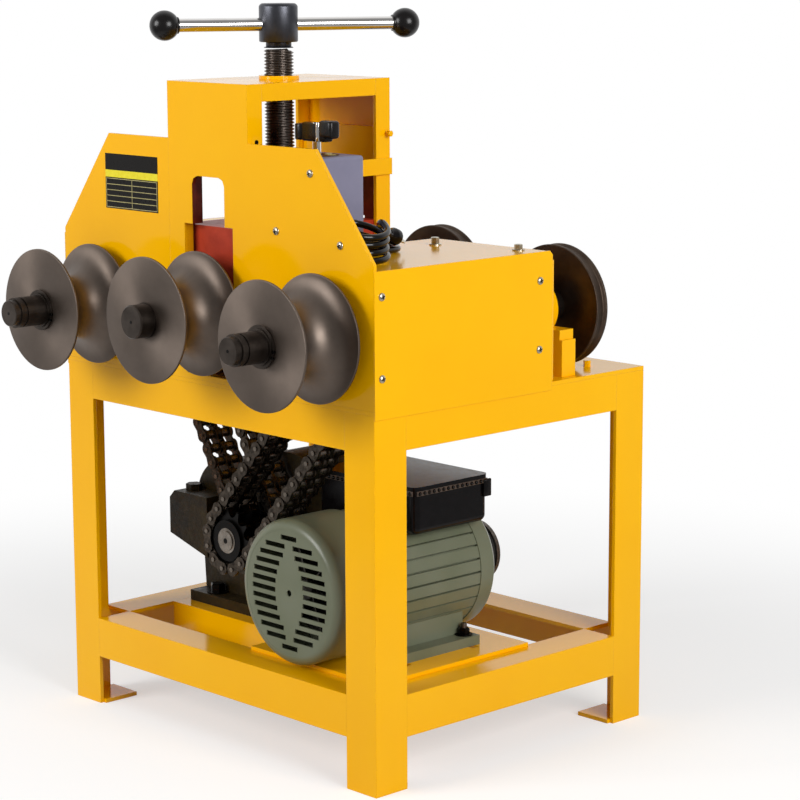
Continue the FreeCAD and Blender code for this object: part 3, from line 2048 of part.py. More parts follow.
def plug_solids():
    """A plug body with its grip ring, and three round pins."""
    radius = float(s.plug_radius)
    length = float(s.plug_length)
    profile = [
        Vector(0, 0, 0),
        Vector(radius * 0.6, 0, 0),
        Vector(radius * 0.75, 0, length * 0.35),
        Vector(radius, 0, length * 0.55),
        Vector(radius, 0, length),
        Vector(0, 0, length),
    ]
    body = Part.Face(Part.makePolygon(profile + profile[:1])).revolve(
        Vector(), Vector(0, 0, 1), 360
    )
    solids = [body]
    for k in range(3):
        angle = 2 * math.pi * k / 3
        pin_at = Vector(5.5 * math.cos(angle), 5.5 * math.sin(angle), length)
        solids.append(Part.makeCylinder(2, float(s.pin_length), pin_at))
    along_tail = tail[-1] - tail[-2]
    turned = FreeCAD.Placement(tail[-1], FreeCAD.Rotation(Vector(0, 0, 1), along_tail))
    for solid in solids:
        solid.Placement = turned.multiply(solid.Placement)
    return solids


piece("plug", *[formed(f"plug_{i}", solid) for i, solid in enumerate(plug_solids())])

# Every piece is checked, then written to its own file.
doc.recompute()
failed = [o.Label for o in doc.Objects if {"Invalid", "Error"} & set(o.State)]
if failed:
    raise RuntimeError(f"failed objects: {failed}")
os.makedirs("parts", exist_ok=True)
for part in parts:
    shape = part.Shape
    if shape.isNull() or not shape.isValid() or not shape.Solids:
        raise RuntimeError(f"bad shape: {part.Label}")
    shape.exportStep(f"parts/{part.Label}.step")
print(len(parts), "parts,", sum(len(p.Shape.Solids) for p in parts), "solids")
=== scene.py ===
import math

import bmesh
import bpy
from mathutils import Matrix, Vector


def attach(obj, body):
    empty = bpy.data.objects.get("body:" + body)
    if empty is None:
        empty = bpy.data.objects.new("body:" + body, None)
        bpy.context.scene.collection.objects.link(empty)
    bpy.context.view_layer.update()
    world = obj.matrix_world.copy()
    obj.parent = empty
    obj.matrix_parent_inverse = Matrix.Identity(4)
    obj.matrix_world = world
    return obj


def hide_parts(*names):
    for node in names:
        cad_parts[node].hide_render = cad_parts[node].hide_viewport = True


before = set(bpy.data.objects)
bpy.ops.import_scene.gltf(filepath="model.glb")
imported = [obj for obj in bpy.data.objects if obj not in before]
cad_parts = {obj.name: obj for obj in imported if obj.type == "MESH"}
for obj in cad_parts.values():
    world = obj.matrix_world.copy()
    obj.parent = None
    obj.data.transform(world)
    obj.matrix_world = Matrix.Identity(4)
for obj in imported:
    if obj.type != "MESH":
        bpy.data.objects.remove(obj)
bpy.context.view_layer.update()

# Sizes here are in millimetres: X is 0 on the middle shaft and runs right, Y is
# 0 on the face of the front plates and runs back, Z is 0 on the floor.
RIGHT, FRONT, BACK = (1, 0, 0), (0, -1, 0), (0, 1, 0)
UP, DOWN = (0, 0, 1), (0, 0, -1)
CENTRE_Y = 157
HALF_WIDTH = 287.5
HALF_TOWER = 74
SHAFT_SPACING = 208
SIDE_SHAFT_Z = 530
MIDDLE_SHAFT_Z = 538
OUTPUT_X, OUTPUT_Z = -44.5, 240
COVER_FOOT, COVER_TOP, COVER_DEPTH = 443, 612, 291
COVER_FACE = HALF_WIDTH + 1.5
SCREW_Y = 114
BAR_HEIGHT, BAR_ANGLE = 877, math.radians(64)
SWITCH_LEFT, SWITCH_BACK = 87.5, 94
MOTOR_X, MOTOR_Z = 116.5, 209


def mm(x, y, z):
    """A point of the machine, in the metres of the frame."""
    return Vector((x, y - CENTRE_Y, z)) / 1000


# The camera, with its place in metres. It looks back and to the left.
CAMERA_SENSOR, CAMERA_LENS = 36, 112.899
CAMERA_PLACE = (2.3132, -2.0472, 0.9613)
CAMERA_WAY, CAMERA_FALL, CAMERA_ROLL = (math.radians(a) for a in (46.38, 10.1086, -0.2129))
AWAY = Vector((-math.sin(CAMERA_WAY), math.cos(CAMERA_WAY), 0))


def stand_camera():
    """Stands the camera at its place and turns it to the machine."""
    data = bpy.data.cameras.new("camera")
    data.sensor_width, data.lens = CAMERA_SENSOR, CAMERA_LENS
    camera = bpy.data.objects.new("camera", data)
    bpy.context.scene.collection.objects.link(camera)
    sight = AWAY * math.cos(CAMERA_FALL) - Vector(UP) * math.sin(CAMERA_FALL)
    right = Vector((math.cos(CAMERA_WAY), math.sin(CAMERA_WAY), 0))
    above = right.cross(sight)
    sideways = right * math.cos(CAMERA_ROLL) + above * math.sin(CAMERA_ROLL)
    upright = above * math.cos(CAMERA_ROLL) - right * math.sin(CAMERA_ROLL)
    turned = Matrix((sideways, upright, -sight)).transposed().to_4x4()
    camera.matrix_world = Matrix.Translation(CAMERA_PLACE) @ turned
    bpy.context.scene.camera = camera


stand_camera()

# Materials.


def linear(hex_colour):
    """The linear colour of an sRGB hex value."""
    parts = [int(hex_colour[k : k + 2], 16) / 255 for k in (1, 3, 5)]
    return [*(c / 12.92 if c <= 0.04045 else ((c + 0.055) / 1.055) ** 2.4 for c in parts), 1]


def add(tree, kind, inputs=(), **settings):
    """Adds one node. An input is linked where it is another node's socket."""
    made = tree.nodes.new(kind)
    for name, value in settings.items():
        setattr(made, name, value)
    for name, value in dict(inputs).items():
        if isinstance(value, bpy.types.NodeSocket):
            tree.links.new(value, made.inputs[name])
        else:
            made.inputs[name].default_value = value
    return made


def start_material(name, **shader):
    """A material with its shader's plain values set, and the place on the piece."""
    material = bpy.data.materials.new(name)
    material.use_nodes = True
    tree = material.node_tree
    surface = tree.nodes["Principled BSDF"]
    for socket, value in shader.items():
        surface.inputs[socket.replace("_", " ")].default_value = value
    place = add(tree, "ShaderNodeTexCoord").outputs["Object"]
    return material, tree, surface, place


def mottle(tree, place, size_mm, low, high, detail=3):
    """Noise of one real grain size, spread between two values."""
    noise = add(
        tree,
        "ShaderNodeTexNoise",
        {"Vector": place, "Scale": 1000 / size_mm, "Detail": detail, "Roughness": 0.6},
    )
    spread = add(
        tree,
        "ShaderNodeMapRange",
        {
            "Value": noise.outputs["Fac"],
            "From Min": 0.3,
            "From Max": 0.7,
            "To Min": low,
            "To Max": high,
        },
    )
    return spread.outputs["Result"]


def tones(tree, place, size_mm, light, dark, detail=3):
    """Two colours that run into each other in patches of one real size."""
    share = mottle(tree, place, size_mm, 0, 1, detail)
    mixed = add(
        tree,
        "ShaderNodeMix",
        {"Factor": share, "A": linear(light), "B": linear(dark)},
        data_type="RGBA",
    )
    return mixed.outputs["Result"]


def finish_material(name, colour, roughness, grain=None, **shader):
    """A material from three patterns, each with its real size in millimetres first:
    colour between two tones, roughness between two values, and grain that stands up
    by a height. What follows these is how fine the pattern breaks up."""
    material, tree, surface, place = start_material(name, **shader)
    tree.links.new(tones(tree, place, *colour), surface.inputs["Base Color"])
    tree.links.new(mottle(tree, place, *roughness), surface.inputs["Roughness"])
    if grain:
        width_mm, height_mm, *detail = grain
        raised = add(
            tree,
            "ShaderNodeBump",
            {
                "Height": mottle(tree, place, width_mm, 0, 1, *detail),
                "Distance": height_mm / 1000,
                "Strength": 1.0,
            },
        )
        tree.links.new(raised.outputs["Normal"], surface.inputs["Normal"])
    return material


def spun_lines(tree, place, centre_z, line_mm):
    """The lathe's lines on everything turned about a shaft that runs back, with the
    way that the tool went round. The shafts are one spacing apart across the machine."""
    spot = add(tree, "ShaderNodeSeparateXYZ", {"Vector": place}).outputs
    half = SHAFT_SPACING / 2000
    across = add(tree, "ShaderNodeMath", {0: spot["X"], 1: half, 2: -half}, operation="WRAP")
    rise = add(
        tree, "ShaderNodeMath", {0: spot["Z"], 1: centre_z / 1000}, operation="SUBTRACT"
    )
    from_axis = {"X": across.outputs[0], "Z": rise.outputs[0]}
    spoke = add(tree, "ShaderNodeCombineXYZ", from_axis).outputs[0]
    reach = add(tree, "ShaderNodeVectorMath", {0: spoke}, operation="LENGTH").outputs["Value"]
    ring = add(tree, "ShaderNodeCombineXYZ", {"X": reach, "Y": spot["Y"]}).outputs[0]
    lines = add(
        tree, "ShaderNodeTexNoise", {"Vector": ring, "Scale": 1000 / line_mm, "Detail": 2}
    )
    round_way = add(
        tree, "ShaderNodeVectorMath", {0: spoke, 1: BACK}, operation="CROSS_PRODUCT"
    )
    turned_way = add(
        tree,
        "ShaderNodeVectorTransform",
        {"Vector": round_way.outputs["Vector"]},
        vector_type="VECTOR",
        convert_from="OBJECT",
        convert_to="WORLD",
    )
    return lines.outputs["Fac"], turned_way.outputs[0]


def inside(tree, place, **limits):
    """1 between the machine's limits along each axis that is given, and 0 past them."""
    spot = add(tree, "ShaderNodeSeparateXYZ", {"Vector": place}).outputs
    share = 1
    for axis, edges in limits.items():
        for edge, side in zip(edges, ("GREATER_THAN", "LESS_THAN")):
            height = (edge - CENTRE_Y if axis == "Y" else edge) / 1000
            past = add(tree, "ShaderNodeMath", {0: spot[axis], 1: height}, operation=side)
            share = add(
                tree, "ShaderNodeMath", {0: share, 1: past.outputs[0]}, operation="MULTIPLY"
            ).outputs[0]
    return share


def slot_edge(tree, place):
    """The cut edge of the front plate's slot, above its shoulder."""
    return inside(tree, place, X=(-30.8, 30.8), Y=(0.4, 6), Z=(641.5, 701))


def guide_bare(tree, place):
    """The front guide, but for the painted sides of its slot's wide part, and the
    foot of the rear guide."""
    front = inside(tree, place, Y=(0, 60))
    painted = inside(tree, place, Y=(0, 13), Z=(400, 642))
    rear = inside(tree, place, Y=(150, 300), Z=(400, 706))
    bare = add(tree, "ShaderNodeMath", {0: front, 1: painted}, operation="SUBTRACT").outputs[0]
    return add(tree, "ShaderNodeMath", {0: bare, 1: rear}, operation="MAXIMUM").outputs[0]


def yellow_enamel(name="yellow_gloss_enamel", bare=None):
    """Sprayed gloss enamel: an even warm yellow with a soft mirror at glancing sight,
    a faint orange peel 2.2 mm wide, and worn round edges that catch the light. Where
    bare is given, the red primer shows there under the edge of the paint, in a dark
    tone that is painted shade of the slot and of the tower's inside."""
    material, tree, surface, place = start_material(
        name, Metallic=0, IOR=1.5, Specular_IOR_Level=0.25
    )
    tone = tones(tree, place, 180, "#FEBC00", "#FBB600")
    if bare:
        # Real red primer, made darker than the carriage's own as painted shade of the slot's
        # edges and the tower's inside.
        primer_with_painted_shade = tones(tree, place, 24, "#7A2A18", "#4E160C")
        worn = add(
            tree,
            "ShaderNodeMix",
            {"Factor": bare(tree, place), "A": tone, "B": primer_with_painted_shade},
            data_type="RGBA",
        )
        tone = worn.outputs["Result"]
    tree.links.new(tone, surface.inputs["Base Color"])
    tree.links.new(mottle(tree, place, 60, 0.1, 0.16), surface.inputs["Roughness"])
    worn_edge = add(tree, "ShaderNodeBevel", {"Radius": 1.2 / 1000}, samples=4)
    peel = add(
        tree,
        "ShaderNodeBump",
        {
            "Height": mottle(tree, place, 2.2, 0, 1, 1),
            "Distance": 0.012 / 1000,
            "Strength": 1.0,
            "Normal": worn_edge.outputs["Normal"],
        },
    )
    tree.links.new(peel.outputs["Normal"], surface.inputs["Normal"])
    return material


def red_oxide_primer():
    """Brushed red-oxide primer: flat brick red with darker rubbed patches."""
    return finish_material(
        "red_oxide_primer",
        colour=(24, "#BC3E24", "#A43019"),
        roughness=(8, 0.36, 0.5),
        grain=(1.2, 0.03, 2),
        Metallic=0,
        IOR=1.5,
        Specular_IOR_Level=0.25,
    )


def turned_steel(name, light, dark, centre_z=SIDE_SHAFT_Z, line_mm=0.9):
    """Turned and blackened steel: brown-black satin with the lathe's fine lines,
    which draw its highlights out into fans. The lines are cut 0.2 mm apart and are
    drawn wider so that they show."""
    material, tree, surface, place = start_material(name, Metallic=1, Anisotropic=0.6)
    lines, round_way = spun_lines(tree, place, centre_z, line_mm)
    cut = add(
        tree, "ShaderNodeBump", {"Height": lines, "Distance": 0.006 / 1000, "Strength": 1.0}
    )
    tree.links.new(tones(tree, place, 34, light, dark), surface.inputs["Base Color"])
    tree.links.new(mottle(tree, place, 40, 0.42, 0.5), surface.inputs["Roughness"])
    tree.links.new(cut.outputs["Normal"], surface.inputs["Normal"])
    tree.links.new(round_way, surface.inputs["Tangent"])
    return material


def blackened_steel(name, light, dark, low=0.32, high=0.46):
    """Black-oxidised steel: satin grey-black, slightly patchy from the bath."""
    return finish_material(
        name,
        colour=(30, light, dark),
        roughness=(14, low, high),
        grain=(0.8, 0.006, 2),
        Metallic=1,
    )


def oiled_chain_steel():
    """Oiled, hardened chain plates: grey-brown steel with darker oil in patches."""
    return finish_material(
        "oiled_chain_steel",
        colour=(5, "#5A5148", "#2E2822"),
        roughness=(3, 0.25, 0.5),
        grain=(1.0, 0.03),
        Metallic=1,
    )


def bright_pin_steel():
    """Riveted pin ends, ground bright and worn clean."""
    return finish_material(
        "bright_pin_steel",
        colour=(2, "#8F857A", "#5E554D"),
        roughness=(2, 0.2, 0.4),
        Metallic=1,
    )


def chrome_plate():
    """Polished chromium plate: a near mirror with hair-fine polishing marks."""
    return finish_material(
        "chrome_plate",
        colour=(40, "#E6E4E2", "#D8D5D2"),
        roughness=(6, 0.06, 0.14),
        Metallic=1,
    )


def zinc_plate():
    """Yellow-passivated zinc on screws and nuts: pale, slightly brassy metal."""
    return finish_material(
        "zinc_plate",
        colour=(3, "#CFC8B4", "#A9A294"),
        roughness=(2, 0.2, 0.38),
        Metallic=1,
    )


def machined_steel():
    """A machined shaft end: light grey steel with fine turning marks."""
    return finish_material(
        "machined_steel",
        colour=(9, "#A39A90", "#776F66"),
        roughness=(2, 0.25, 0.42),
        Metallic=1,
    )


def cast_iron_paint():
    """Dark olive-black paint over sand-cast iron: coarse grain 2 mm wide shows
    through it, and the high spots catch the light."""
    return finish_material(
        "painted_cast_iron",
        colour=(16, "#352A10", "#1C1408"),
        roughness=(5, 0.35, 0.6),
        grain=(2, 0.12),
        Metallic=0,
        IOR=1.5,
        Specular_IOR_Level=0.18,
    )


def motor_enamel():
    """Grey-green motor enamel, half gloss, over die-cast aluminium and pressed steel."""
    return finish_material(
        "motor_enamel",
        colour=(70, "#6F735F", "#656A53", 1),
        roughness=(60, 0.29, 0.34, 0),
        Metallic=0,
        IOR=1.5,
        Specular_IOR_Level=0.4,
    )


def pulley_iron():
    """Turned grey iron, bare and lightly oiled."""
    return finish_material(
        "turned_grey_iron",
        colour=(4, "#77726C", "#4C4843"),
        roughness=(3, 0.32, 0.5),
        Metallic=1,
    )


def belt_rubber():
    """Fabric-wrapped rubber belt: dull black, with the wrap's weave at 1.4 mm."""
    return finish_material(
        "wrapped_belt_rubber",
        colour=(7, "#1C1B1A", "#121110"),
        roughness=(2, 0.6, 0.8),
        grain=(1.4, 0.08),
        Metallic=0,
        IOR=1.5,
    )


def cord_rubber():
    """Extruded cord sheath: gloss black with long soft highlights."""
    return finish_material(
        "cord_sheath_rubber",
        colour=(12, "#0A0808", "#050404"),
        roughness=(6, 0.1, 0.2),
        Metallic=0,
        IOR=1.5,
        Specular_IOR_Level=0.4,
    )


def moulded_plastic(name, light, dark, low, high, gloss=0.35):
    """Moulded plastic: near-black, its gloss uneven as it came out of the mould."""
    return finish_material(
        name,
        colour=(10, light, dark),
        roughness=(8, low, high),
        grain=(0.9, 0.01),
        Metallic=0,
        IOR=1.5,
        Specular_IOR_Level=gloss,
    )


def switch_paint():
    """Blue-grey hammered paint on the switch box: satin, with small soft dimples."""
    return finish_material(
        "blue_grey_paint",
        colour=(60, "#84839A", "#7B7A90"),
        roughness=(6, 0.42, 0.55),
        grain=(1.5, 0.02),
        Metallic=0,
        IOR=1.5,
        Specular_IOR_Level=0.3,
    )


def sticker_print(name, light, dark):
    """Printed vinyl: an even ink with a soft gloss and a trace of ink mottle."""
    return finish_material(
        name,
        colour=(5, light, dark),
        roughness=(4, 0.25, 0.35),
        Metallic=0,
        IOR=1.46,
        Specular_IOR_Level=0.2,
    )


enamel = yellow_enamel()
slot_enamel = yellow_enamel("slotted_plate_enamel", slot_edge)
guide_enamel = yellow_enamel("guide_enamel_over_primer", guide_bare)
primer = red_oxide_primer()
side_roller_steel = turned_steel("turned_roller_steel", "#74685F", "#6A5F57")
middle_roller_steel = turned_steel(
    "turned_middle_roller_steel", "#74685F", "#6A5F57", MIDDLE_SHAFT_Z
)
# One steel for all three wheels: its rings' centre lies between the shafts' heights.
wheel_steel = turned_steel(
    "turned_wheel_steel",
    "#5C4E43",
    "#43372F",
    centre_z=(SIDE_SHAFT_Z + MIDDLE_SHAFT_Z) / 2,
    line_mm=1.6,
)
shaft_steel = blackened_steel("black_oxide_steel", "#544C46", "#3A332E")
# Near-black steel of the spring clips and nuts. It is also painted shade on the output sprocket,
# the centre holes, the screws' recesses and the flange hole.
clip_steel_and_painted_shade = blackened_steel("spring_clip_steel", "#232120", "#151413", 0.3, 0.4)
hub_steel = blackened_steel("phosphated_steel", "#56575D", "#46474D")
screw_steel = blackened_steel("oiled_screw_steel", "#7D736C", "#574E48", 0.24, 0.36)
chain_steel = oiled_chain_steel()
pin_steel = bright_pin_steel()
chrome = chrome_plate()
zinc = zinc_plate()
bare_steel = machined_steel()
case_paint = cast_iron_paint()
motor_paint = motor_enamel()
iron = pulley_iron()
rubber = belt_rubber()
sheath = cord_rubber()
box_plastic = moulded_plastic("gloss_black_plastic", "#0B0809", "#050303", 0.16, 0.26, 0.2)
# Pale brown for the lid's seam: a painted reflection of the gap between lid and box.
seam_reflection_plastic = moulded_plastic("seam_painted_reflection_plastic", "#54463B", "#352B24", 0.4, 0.6)
knob_plastic = moulded_plastic("black_phenolic", "#100D0D", "#0A0808", 0.2, 0.28)
box_paint = switch_paint()
black_print = sticker_print("black_vinyl_print", "#0E0A06", "#090603")
yellow_print = sticker_print("yellow_vinyl_print", "#EFE03A", "#E5D42C")
pale_print = sticker_print("pale_vinyl_print", "#C9BE86", "#B5AA74")

# Nodes that aren't named here are painted yellow.
NODE_FINISHES = {
    slot_enamel: ["front_plate"],
    guide_enamel: ["carriage_guides"],
    primer: ["carriage"],
    shaft_steel: ["shaft_left", "shaft_middle", "shaft_right"],
    chain_steel: ["sprocket_left", "sprocket_right"],
    # The output sprocket takes the near-black clip steel as painted shade, deep in the chains'
    # loop.
    clip_steel_and_painted_shade: ["bearing_front_left", "bearing_front_right", "output_sprocket"],
    bare_steel: ["output_shaft"],
    case_paint: ["gear_case"],
    motor_paint: ["motor_frame", "fan_cowl"],
    iron: ["input_pulley", "motor_pulley", "motor_rotor"],
    rubber: ["drive_belts"],
    sheath: ["cord_gland"],
    box_plastic: ["capacitor_box", "capacitor_lid"],
    box_paint: ["switch_box"],
}
finish_of = {name: finish for finish, names in NODE_FINISHES.items() for name in names}
for name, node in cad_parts.items():
    for material_slot in node.material_slots:
        material_slot.link = "OBJECT"
        material_slot.material = finish_of.get(name, enamel)

# Shapes.


def finish_piece(name, mesh, finish, body, replaced=None, smooth=True):
    """Makes a piece from a mesh that is drawn in millimetres of the machine. Where it
    is drawn in place of a node, that node is named as replaced."""
    bmesh.ops.transform(
        mesh, matrix=Matrix.Diagonal((0.001, 0.001, 0.001, 1)), verts=mesh.verts
    )
    bmesh.ops.translate(mesh, vec=(0, -CENTRE_Y / 1000, 0), verts=mesh.verts)
    data = bpy.data.meshes.new(name)
    mesh.to_mesh(data)
    mesh.free()
    data.materials.append(finish)
    if smooth:
        data.shade_smooth()
        data.set_sharp_from_angle(angle=math.radians(35))
    made = bpy.data.objects.new(name, data)
    bpy.context.scene.collection.objects.link(made)
    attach(made, body)
    if replaced:
        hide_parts(replaced)
    return made


def bevel(mesh, edges, offset, segments):
    """Rounds edges off, or cuts them flat where it is done in one segment."""
    bmesh.ops.bevel(
        mesh,
        geom=list(edges),
        offset=offset,
        offset_type="OFFSET",
        segments=segments,
        profile=0.5,
        affect="EDGES",
        material=-1,
    )


def edges_at(verts):
    """The edges that meet at some corners."""
    return {edge for corner in verts for edge in corner.link_edges}


def stood_on(axis, at):
    """The turn and shift that stand a shape drawn up Z on a face."""
    turn = Vector(UP).rotation_difference(Vector(axis)).to_matrix().to_4x4()
    return Matrix.Translation(Vector(at)) @ turn


def turned_on(mesh, profile, axis, foot, steps=32):
    """Adds a turned shape: profile is (radius, distance along axis) pairs from foot."""
    axis = Vector(axis).normalized()
    across = axis.orthogonal().normalized()
    foot = Vector(foot)
    points = [mesh.verts.new(foot + across * r + axis * along) for r, along in profile]
    edges = [mesh.edges.new(pair) for pair in zip(points, points[1:])]
    bmesh.ops.spin(
        mesh,
        geom=points + edges,
        cent=foot,
        axis=axis,
        angle=2 * math.pi,
        steps=steps,
        use_merge=True,
    )
    bmesh.ops.remove_doubles(mesh, verts=mesh.verts, dist=1e-4)
    bmesh.ops.recalc_face_normals(mesh, faces=mesh.faces)


def eased(corners):
    """A turned profile whose corners (radius, along, ease) are rounded by their ease."""
    profile = []
    for k, (radius, along, ease) in enumerate(corners):
        at = Vector((radius, along))
        before = (Vector(corners[k - 1][:2]) - at).normalized() * ease
        after = (Vector(corners[(k + 1) % len(corners)][:2]) - at).normalized() * ease
        steps = 5 if ease else 1
        for step in range(steps):
            t = step / max(1, steps - 1)
            profile.append(tuple(at + before * (1 - t) ** 2 + after * t ** 2))
    return profile


def rod(mesh, radius, start, end, axis, foot, steps, ease=0):
    """Adds a plain round rod along an axis, its far end eased where asked."""
    profile = eased([(0, start, 0), (radius, start, 0), (radius, end, ease), (0, end, 0)])
    turned_on(mesh, profile, axis, foot, steps)


def block(mesh, low, high, bevel_mm=0, segments=2):
    """Adds a block between two corners, with rounded edges where asked."""
    low, high = Vector(low), Vector(high)
    place = Matrix.Translation((low + high) / 2) @ Matrix.Diagonal((*(high - low), 1))
    made = bmesh.ops.create_cube(mesh, size=1, matrix=place)
    if bevel_mm:
        bevel(mesh, edges_at(made["verts"]), bevel_mm, segments)


# The power lead, from the switch box through its coil to the plug.
CORD_RADIUS, CORD_LENGTH = 4, 1000
CORD_REST = COVER_TOP + CORD_RADIUS + 0.6
COIL_RADIUS, COIL_Y, COIL_PITCH, COIL_TURNS = 32, 49, 9, 3.7
COIL_LEAN, COIL_LEAN_GROWTH, COIL_SWAY = 6, 3.3, 1
LEAD_WIDTH = 72.8
COIL_LOW_X = SWITCH_LEFT + 21.2 + LEAD_WIDTH + COIL_RADIUS * 2 - 2
GLAND_Z = COVER_TOP + 9.5
SAMPLES_PER_TURN = 14


def coil_point(turns):
    """A point of the coil's centre line: each turn leans more toward the switch box."""
    lean = math.radians(COIL_LEAN + COIL_LEAN_GROWTH * turns)
    low = CORD_REST + COIL_PITCH * (turns - 0.5)
    angle = math.pi + 2 * math.pi * turns
    radius = COIL_RADIUS + COIL_SWAY * math.sin(2.3 * turns)
    out = radius * math.cos(angle) - COIL_RADIUS
    x = COIL_LOW_X + out * math.cos(lean)
    return Vector((x, COIL_Y + radius * math.sin(angle), low - out * math.sin(lean)))


def coil_heading(turns):
    """The way that the coil runs at one of its points."""
    return (coil_point(turns + 0.002) - coil_point(turns - 0.002)).normalized()


def run_on(start, runs):
    """Points reached from start by runs of a length, a way in degrees and a rise."""
    points = [start]
    for length, way, rise in runs:
        way = math.radians(way)
        step = Vector((length * math.cos(way), length * math.sin(way), rise))
        points.append(points[-1] + step)
    return points


def lead_route():
    """The lead's points from its gland, and the last ones of these, before the plug."""
    in_heading = coil_heading(0.003)
    out_heading = coil_heading(COIL_TURNS - 0.003)
    lead_in = coil_point(0) - in_heading * CORD_RADIUS * 2
    lead_out = coil_point(COIL_TURNS) + out_heading
    fall = GLAND_Z - CORD_REST
    # Five equal runs that turn by 30 degrees each reach 3.732 runs across.
    side_run = LEAD_WIDTH / 3.732
    route = run_on(
        Vector((lead_in.x - LEAD_WIDTH, SWITCH_BACK + 20, GLAND_Z)),
        [
            (20, 90, 0),
            (side_run, 60, -fall / 2),
            (side_run, 30, -fall / 2),
            (side_run, 0, 0),
            (side_run, -30, 0),
            (side_run, -60, 0),
        ],
    )
    route += [lead_in - in_heading * 24, lead_in]
    steps = int(COIL_TURNS * SAMPLES_PER_TURN)
    route += [coil_point(k * COIL_TURNS / steps) for k in range(steps + 1)]
    tail = run_on(
        lead_out + out_heading * 9,
        [(13, 150, -1.8), (13, 136, -5.8), (13, 122, -7.5), (11, 110, -3.2)],
    )
    return route + tail, tail


def draw_lead(route):
    """The lead as a round curve through its points."""
    line = bpy.data.curves.new("power_lead", "CURVE")
    line.dimensions = "3D"
    line.bevel_depth = CORD_RADIUS / 1000
    line.bevel_resolution = 4
    line.use_fill_caps = True
    spline = line.splines.new("NURBS")
    spline.points.add(len(route) - 1)
    for point, at in zip(spline.points, route):
        point.co = (*mm(*at), 1)
    spline.order_u = 3
    spline.use_endpoint_u = True
    spline.resolution_u = 6
    spline.use_smooth = True
    line.materials.append(sheath)
    lead = bpy.data.objects.new("power_lead", line)
    bpy.context.scene.collection.objects.link(lead)
    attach(lead, "stand")
    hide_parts("power_cord", "cord_coil")
    return lead


PLUG_PROFILE = [
    (0, -1), (5.2, -1), (5.2, 3), (6, 4), (6, 6), (5.4, 7), (6.6, 9),
    (9.2, 13), (10, 15), (10, 23), (9.2, 24), (0, 24),
]
PLUG_PIN, PIN_CIRCLE, PIN_MIDDLE = (2, 4.6, 15), 5.5, 30.5


def draw_plug(foot, way):
    """The plug's moulded body, and its three flat pins round its middle."""
    body = bmesh.new()
    turned_on(body, PLUG_PROFILE, way, foot, 28)
    pins = bmesh.new()
    sideways = way.cross(Vector(UP)).normalized()
    upward = sideways.cross(way).normalized()
    for k in range(3):
        angle = math.pi / 2 + 2 * math.pi * k / 3
        aside = (sideways * math.cos(angle) + upward * math.sin(angle)) * PIN_CIRCLE
        place = stood_on(way, foot + way * PIN_MIDDLE + aside)
        size = Matrix.Diagonal((*PLUG_PIN, 1))
        made = bmesh.ops.create_cube(pins, size=1, matrix=place @ size)
        bevel(pins, edges_at(made["verts"]), 0.5, 1)
    return [
        finish_piece("plug_body", body, box_plastic, "stand", "plug"),
        finish_piece("plug_pins", pins, zinc, "stand", "plug", smooth=False),
    ]


route, tail = lead_route()
power_lead = draw_lead(route)
plug = draw_plug(tail[-1], (tail[-1] - tail[-2]).normalized())

# The front rollers and the rear wheels, each on its shaft.
ROLLER_FRONT, ROLLER_WIDTH, ROLLER_RADIUS, TUBE_RADIUS = -98, 82, 75, 38
WHEEL_FRONT, WHEEL_WIDTH, WHEEL_RADIUS, WHEEL_STEP = 377, 20, 75.5, 3
BORE_RADIUS, GROOVE_STEPS = 21.02, 48
SHAFTS = {
    "left": (-SHAFT_SPACING, SIDE_SHAFT_Z, side_roller_steel),
    "middle": (0, MIDDLE_SHAFT_Z, middle_roller_steel),
    "right": (SHAFT_SPACING, SIDE_SHAFT_Z, side_roller_steel),
}


def roller_profile():
    """A roller's closed profile, with a half-round groove for the tube."""
    land = ROLLER_WIDTH / 2 - TUBE_RADIUS
    groove = []
    for k in range(1, GROOVE_STEPS):
        angle = math.pi * k / GROOVE_STEPS
        depth = TUBE_RADIUS * math.sin(angle)
        along = ROLLER_WIDTH / 2 - TUBE_RADIUS * math.cos(angle)
        groove.append((ROLLER_RADIUS - depth, along, 0))
    near = [(BORE_RADIUS, 0, 0.6), (ROLLER_RADIUS, 0, 0.9), (ROLLER_RADIUS, land, 0.5)]
    far = [(radius, ROLLER_WIDTH - along, ease) for radius, along, ease in near[::-1]]
    profile = eased(near + groove + far)
    return profile + profile[:1]


def wheel_profile():
    """A wheel's closed profile: a rim with a shallow flat channel round it."""
    near = [
        (BORE_RADIUS, 0, 0.6),
        (WHEEL_RADIUS, 0, 1.6),
        (WHEEL_RADIUS, WHEEL_STEP, 0.6),
        (WHEEL_RADIUS - WHEEL_STEP, WHEEL_STEP * 2, 0.8),
    ]
    far = [(radius, WHEEL_WIDTH - along, ease) for radius, along, ease in near[::-1]]
    profile = eased(near + far)
    return profile + profile[:1]


for side, (x, z, steel) in SHAFTS.items():
    for kind, profile, front, finish, node in (
        ("roller", roller_profile(), ROLLER_FRONT, steel, "roller_front"),
        ("wheel", wheel_profile(), WHEEL_FRONT, wheel_steel, "roller_rear"),
    ):
        mesh = bmesh.new()
        turned_on(mesh, profile, BACK, (x, front, z), 96)
        body = f"{side}_shaft"
        finish_piece(f"{kind}_{side}", mesh, finish, body, f"{node}_{side}")

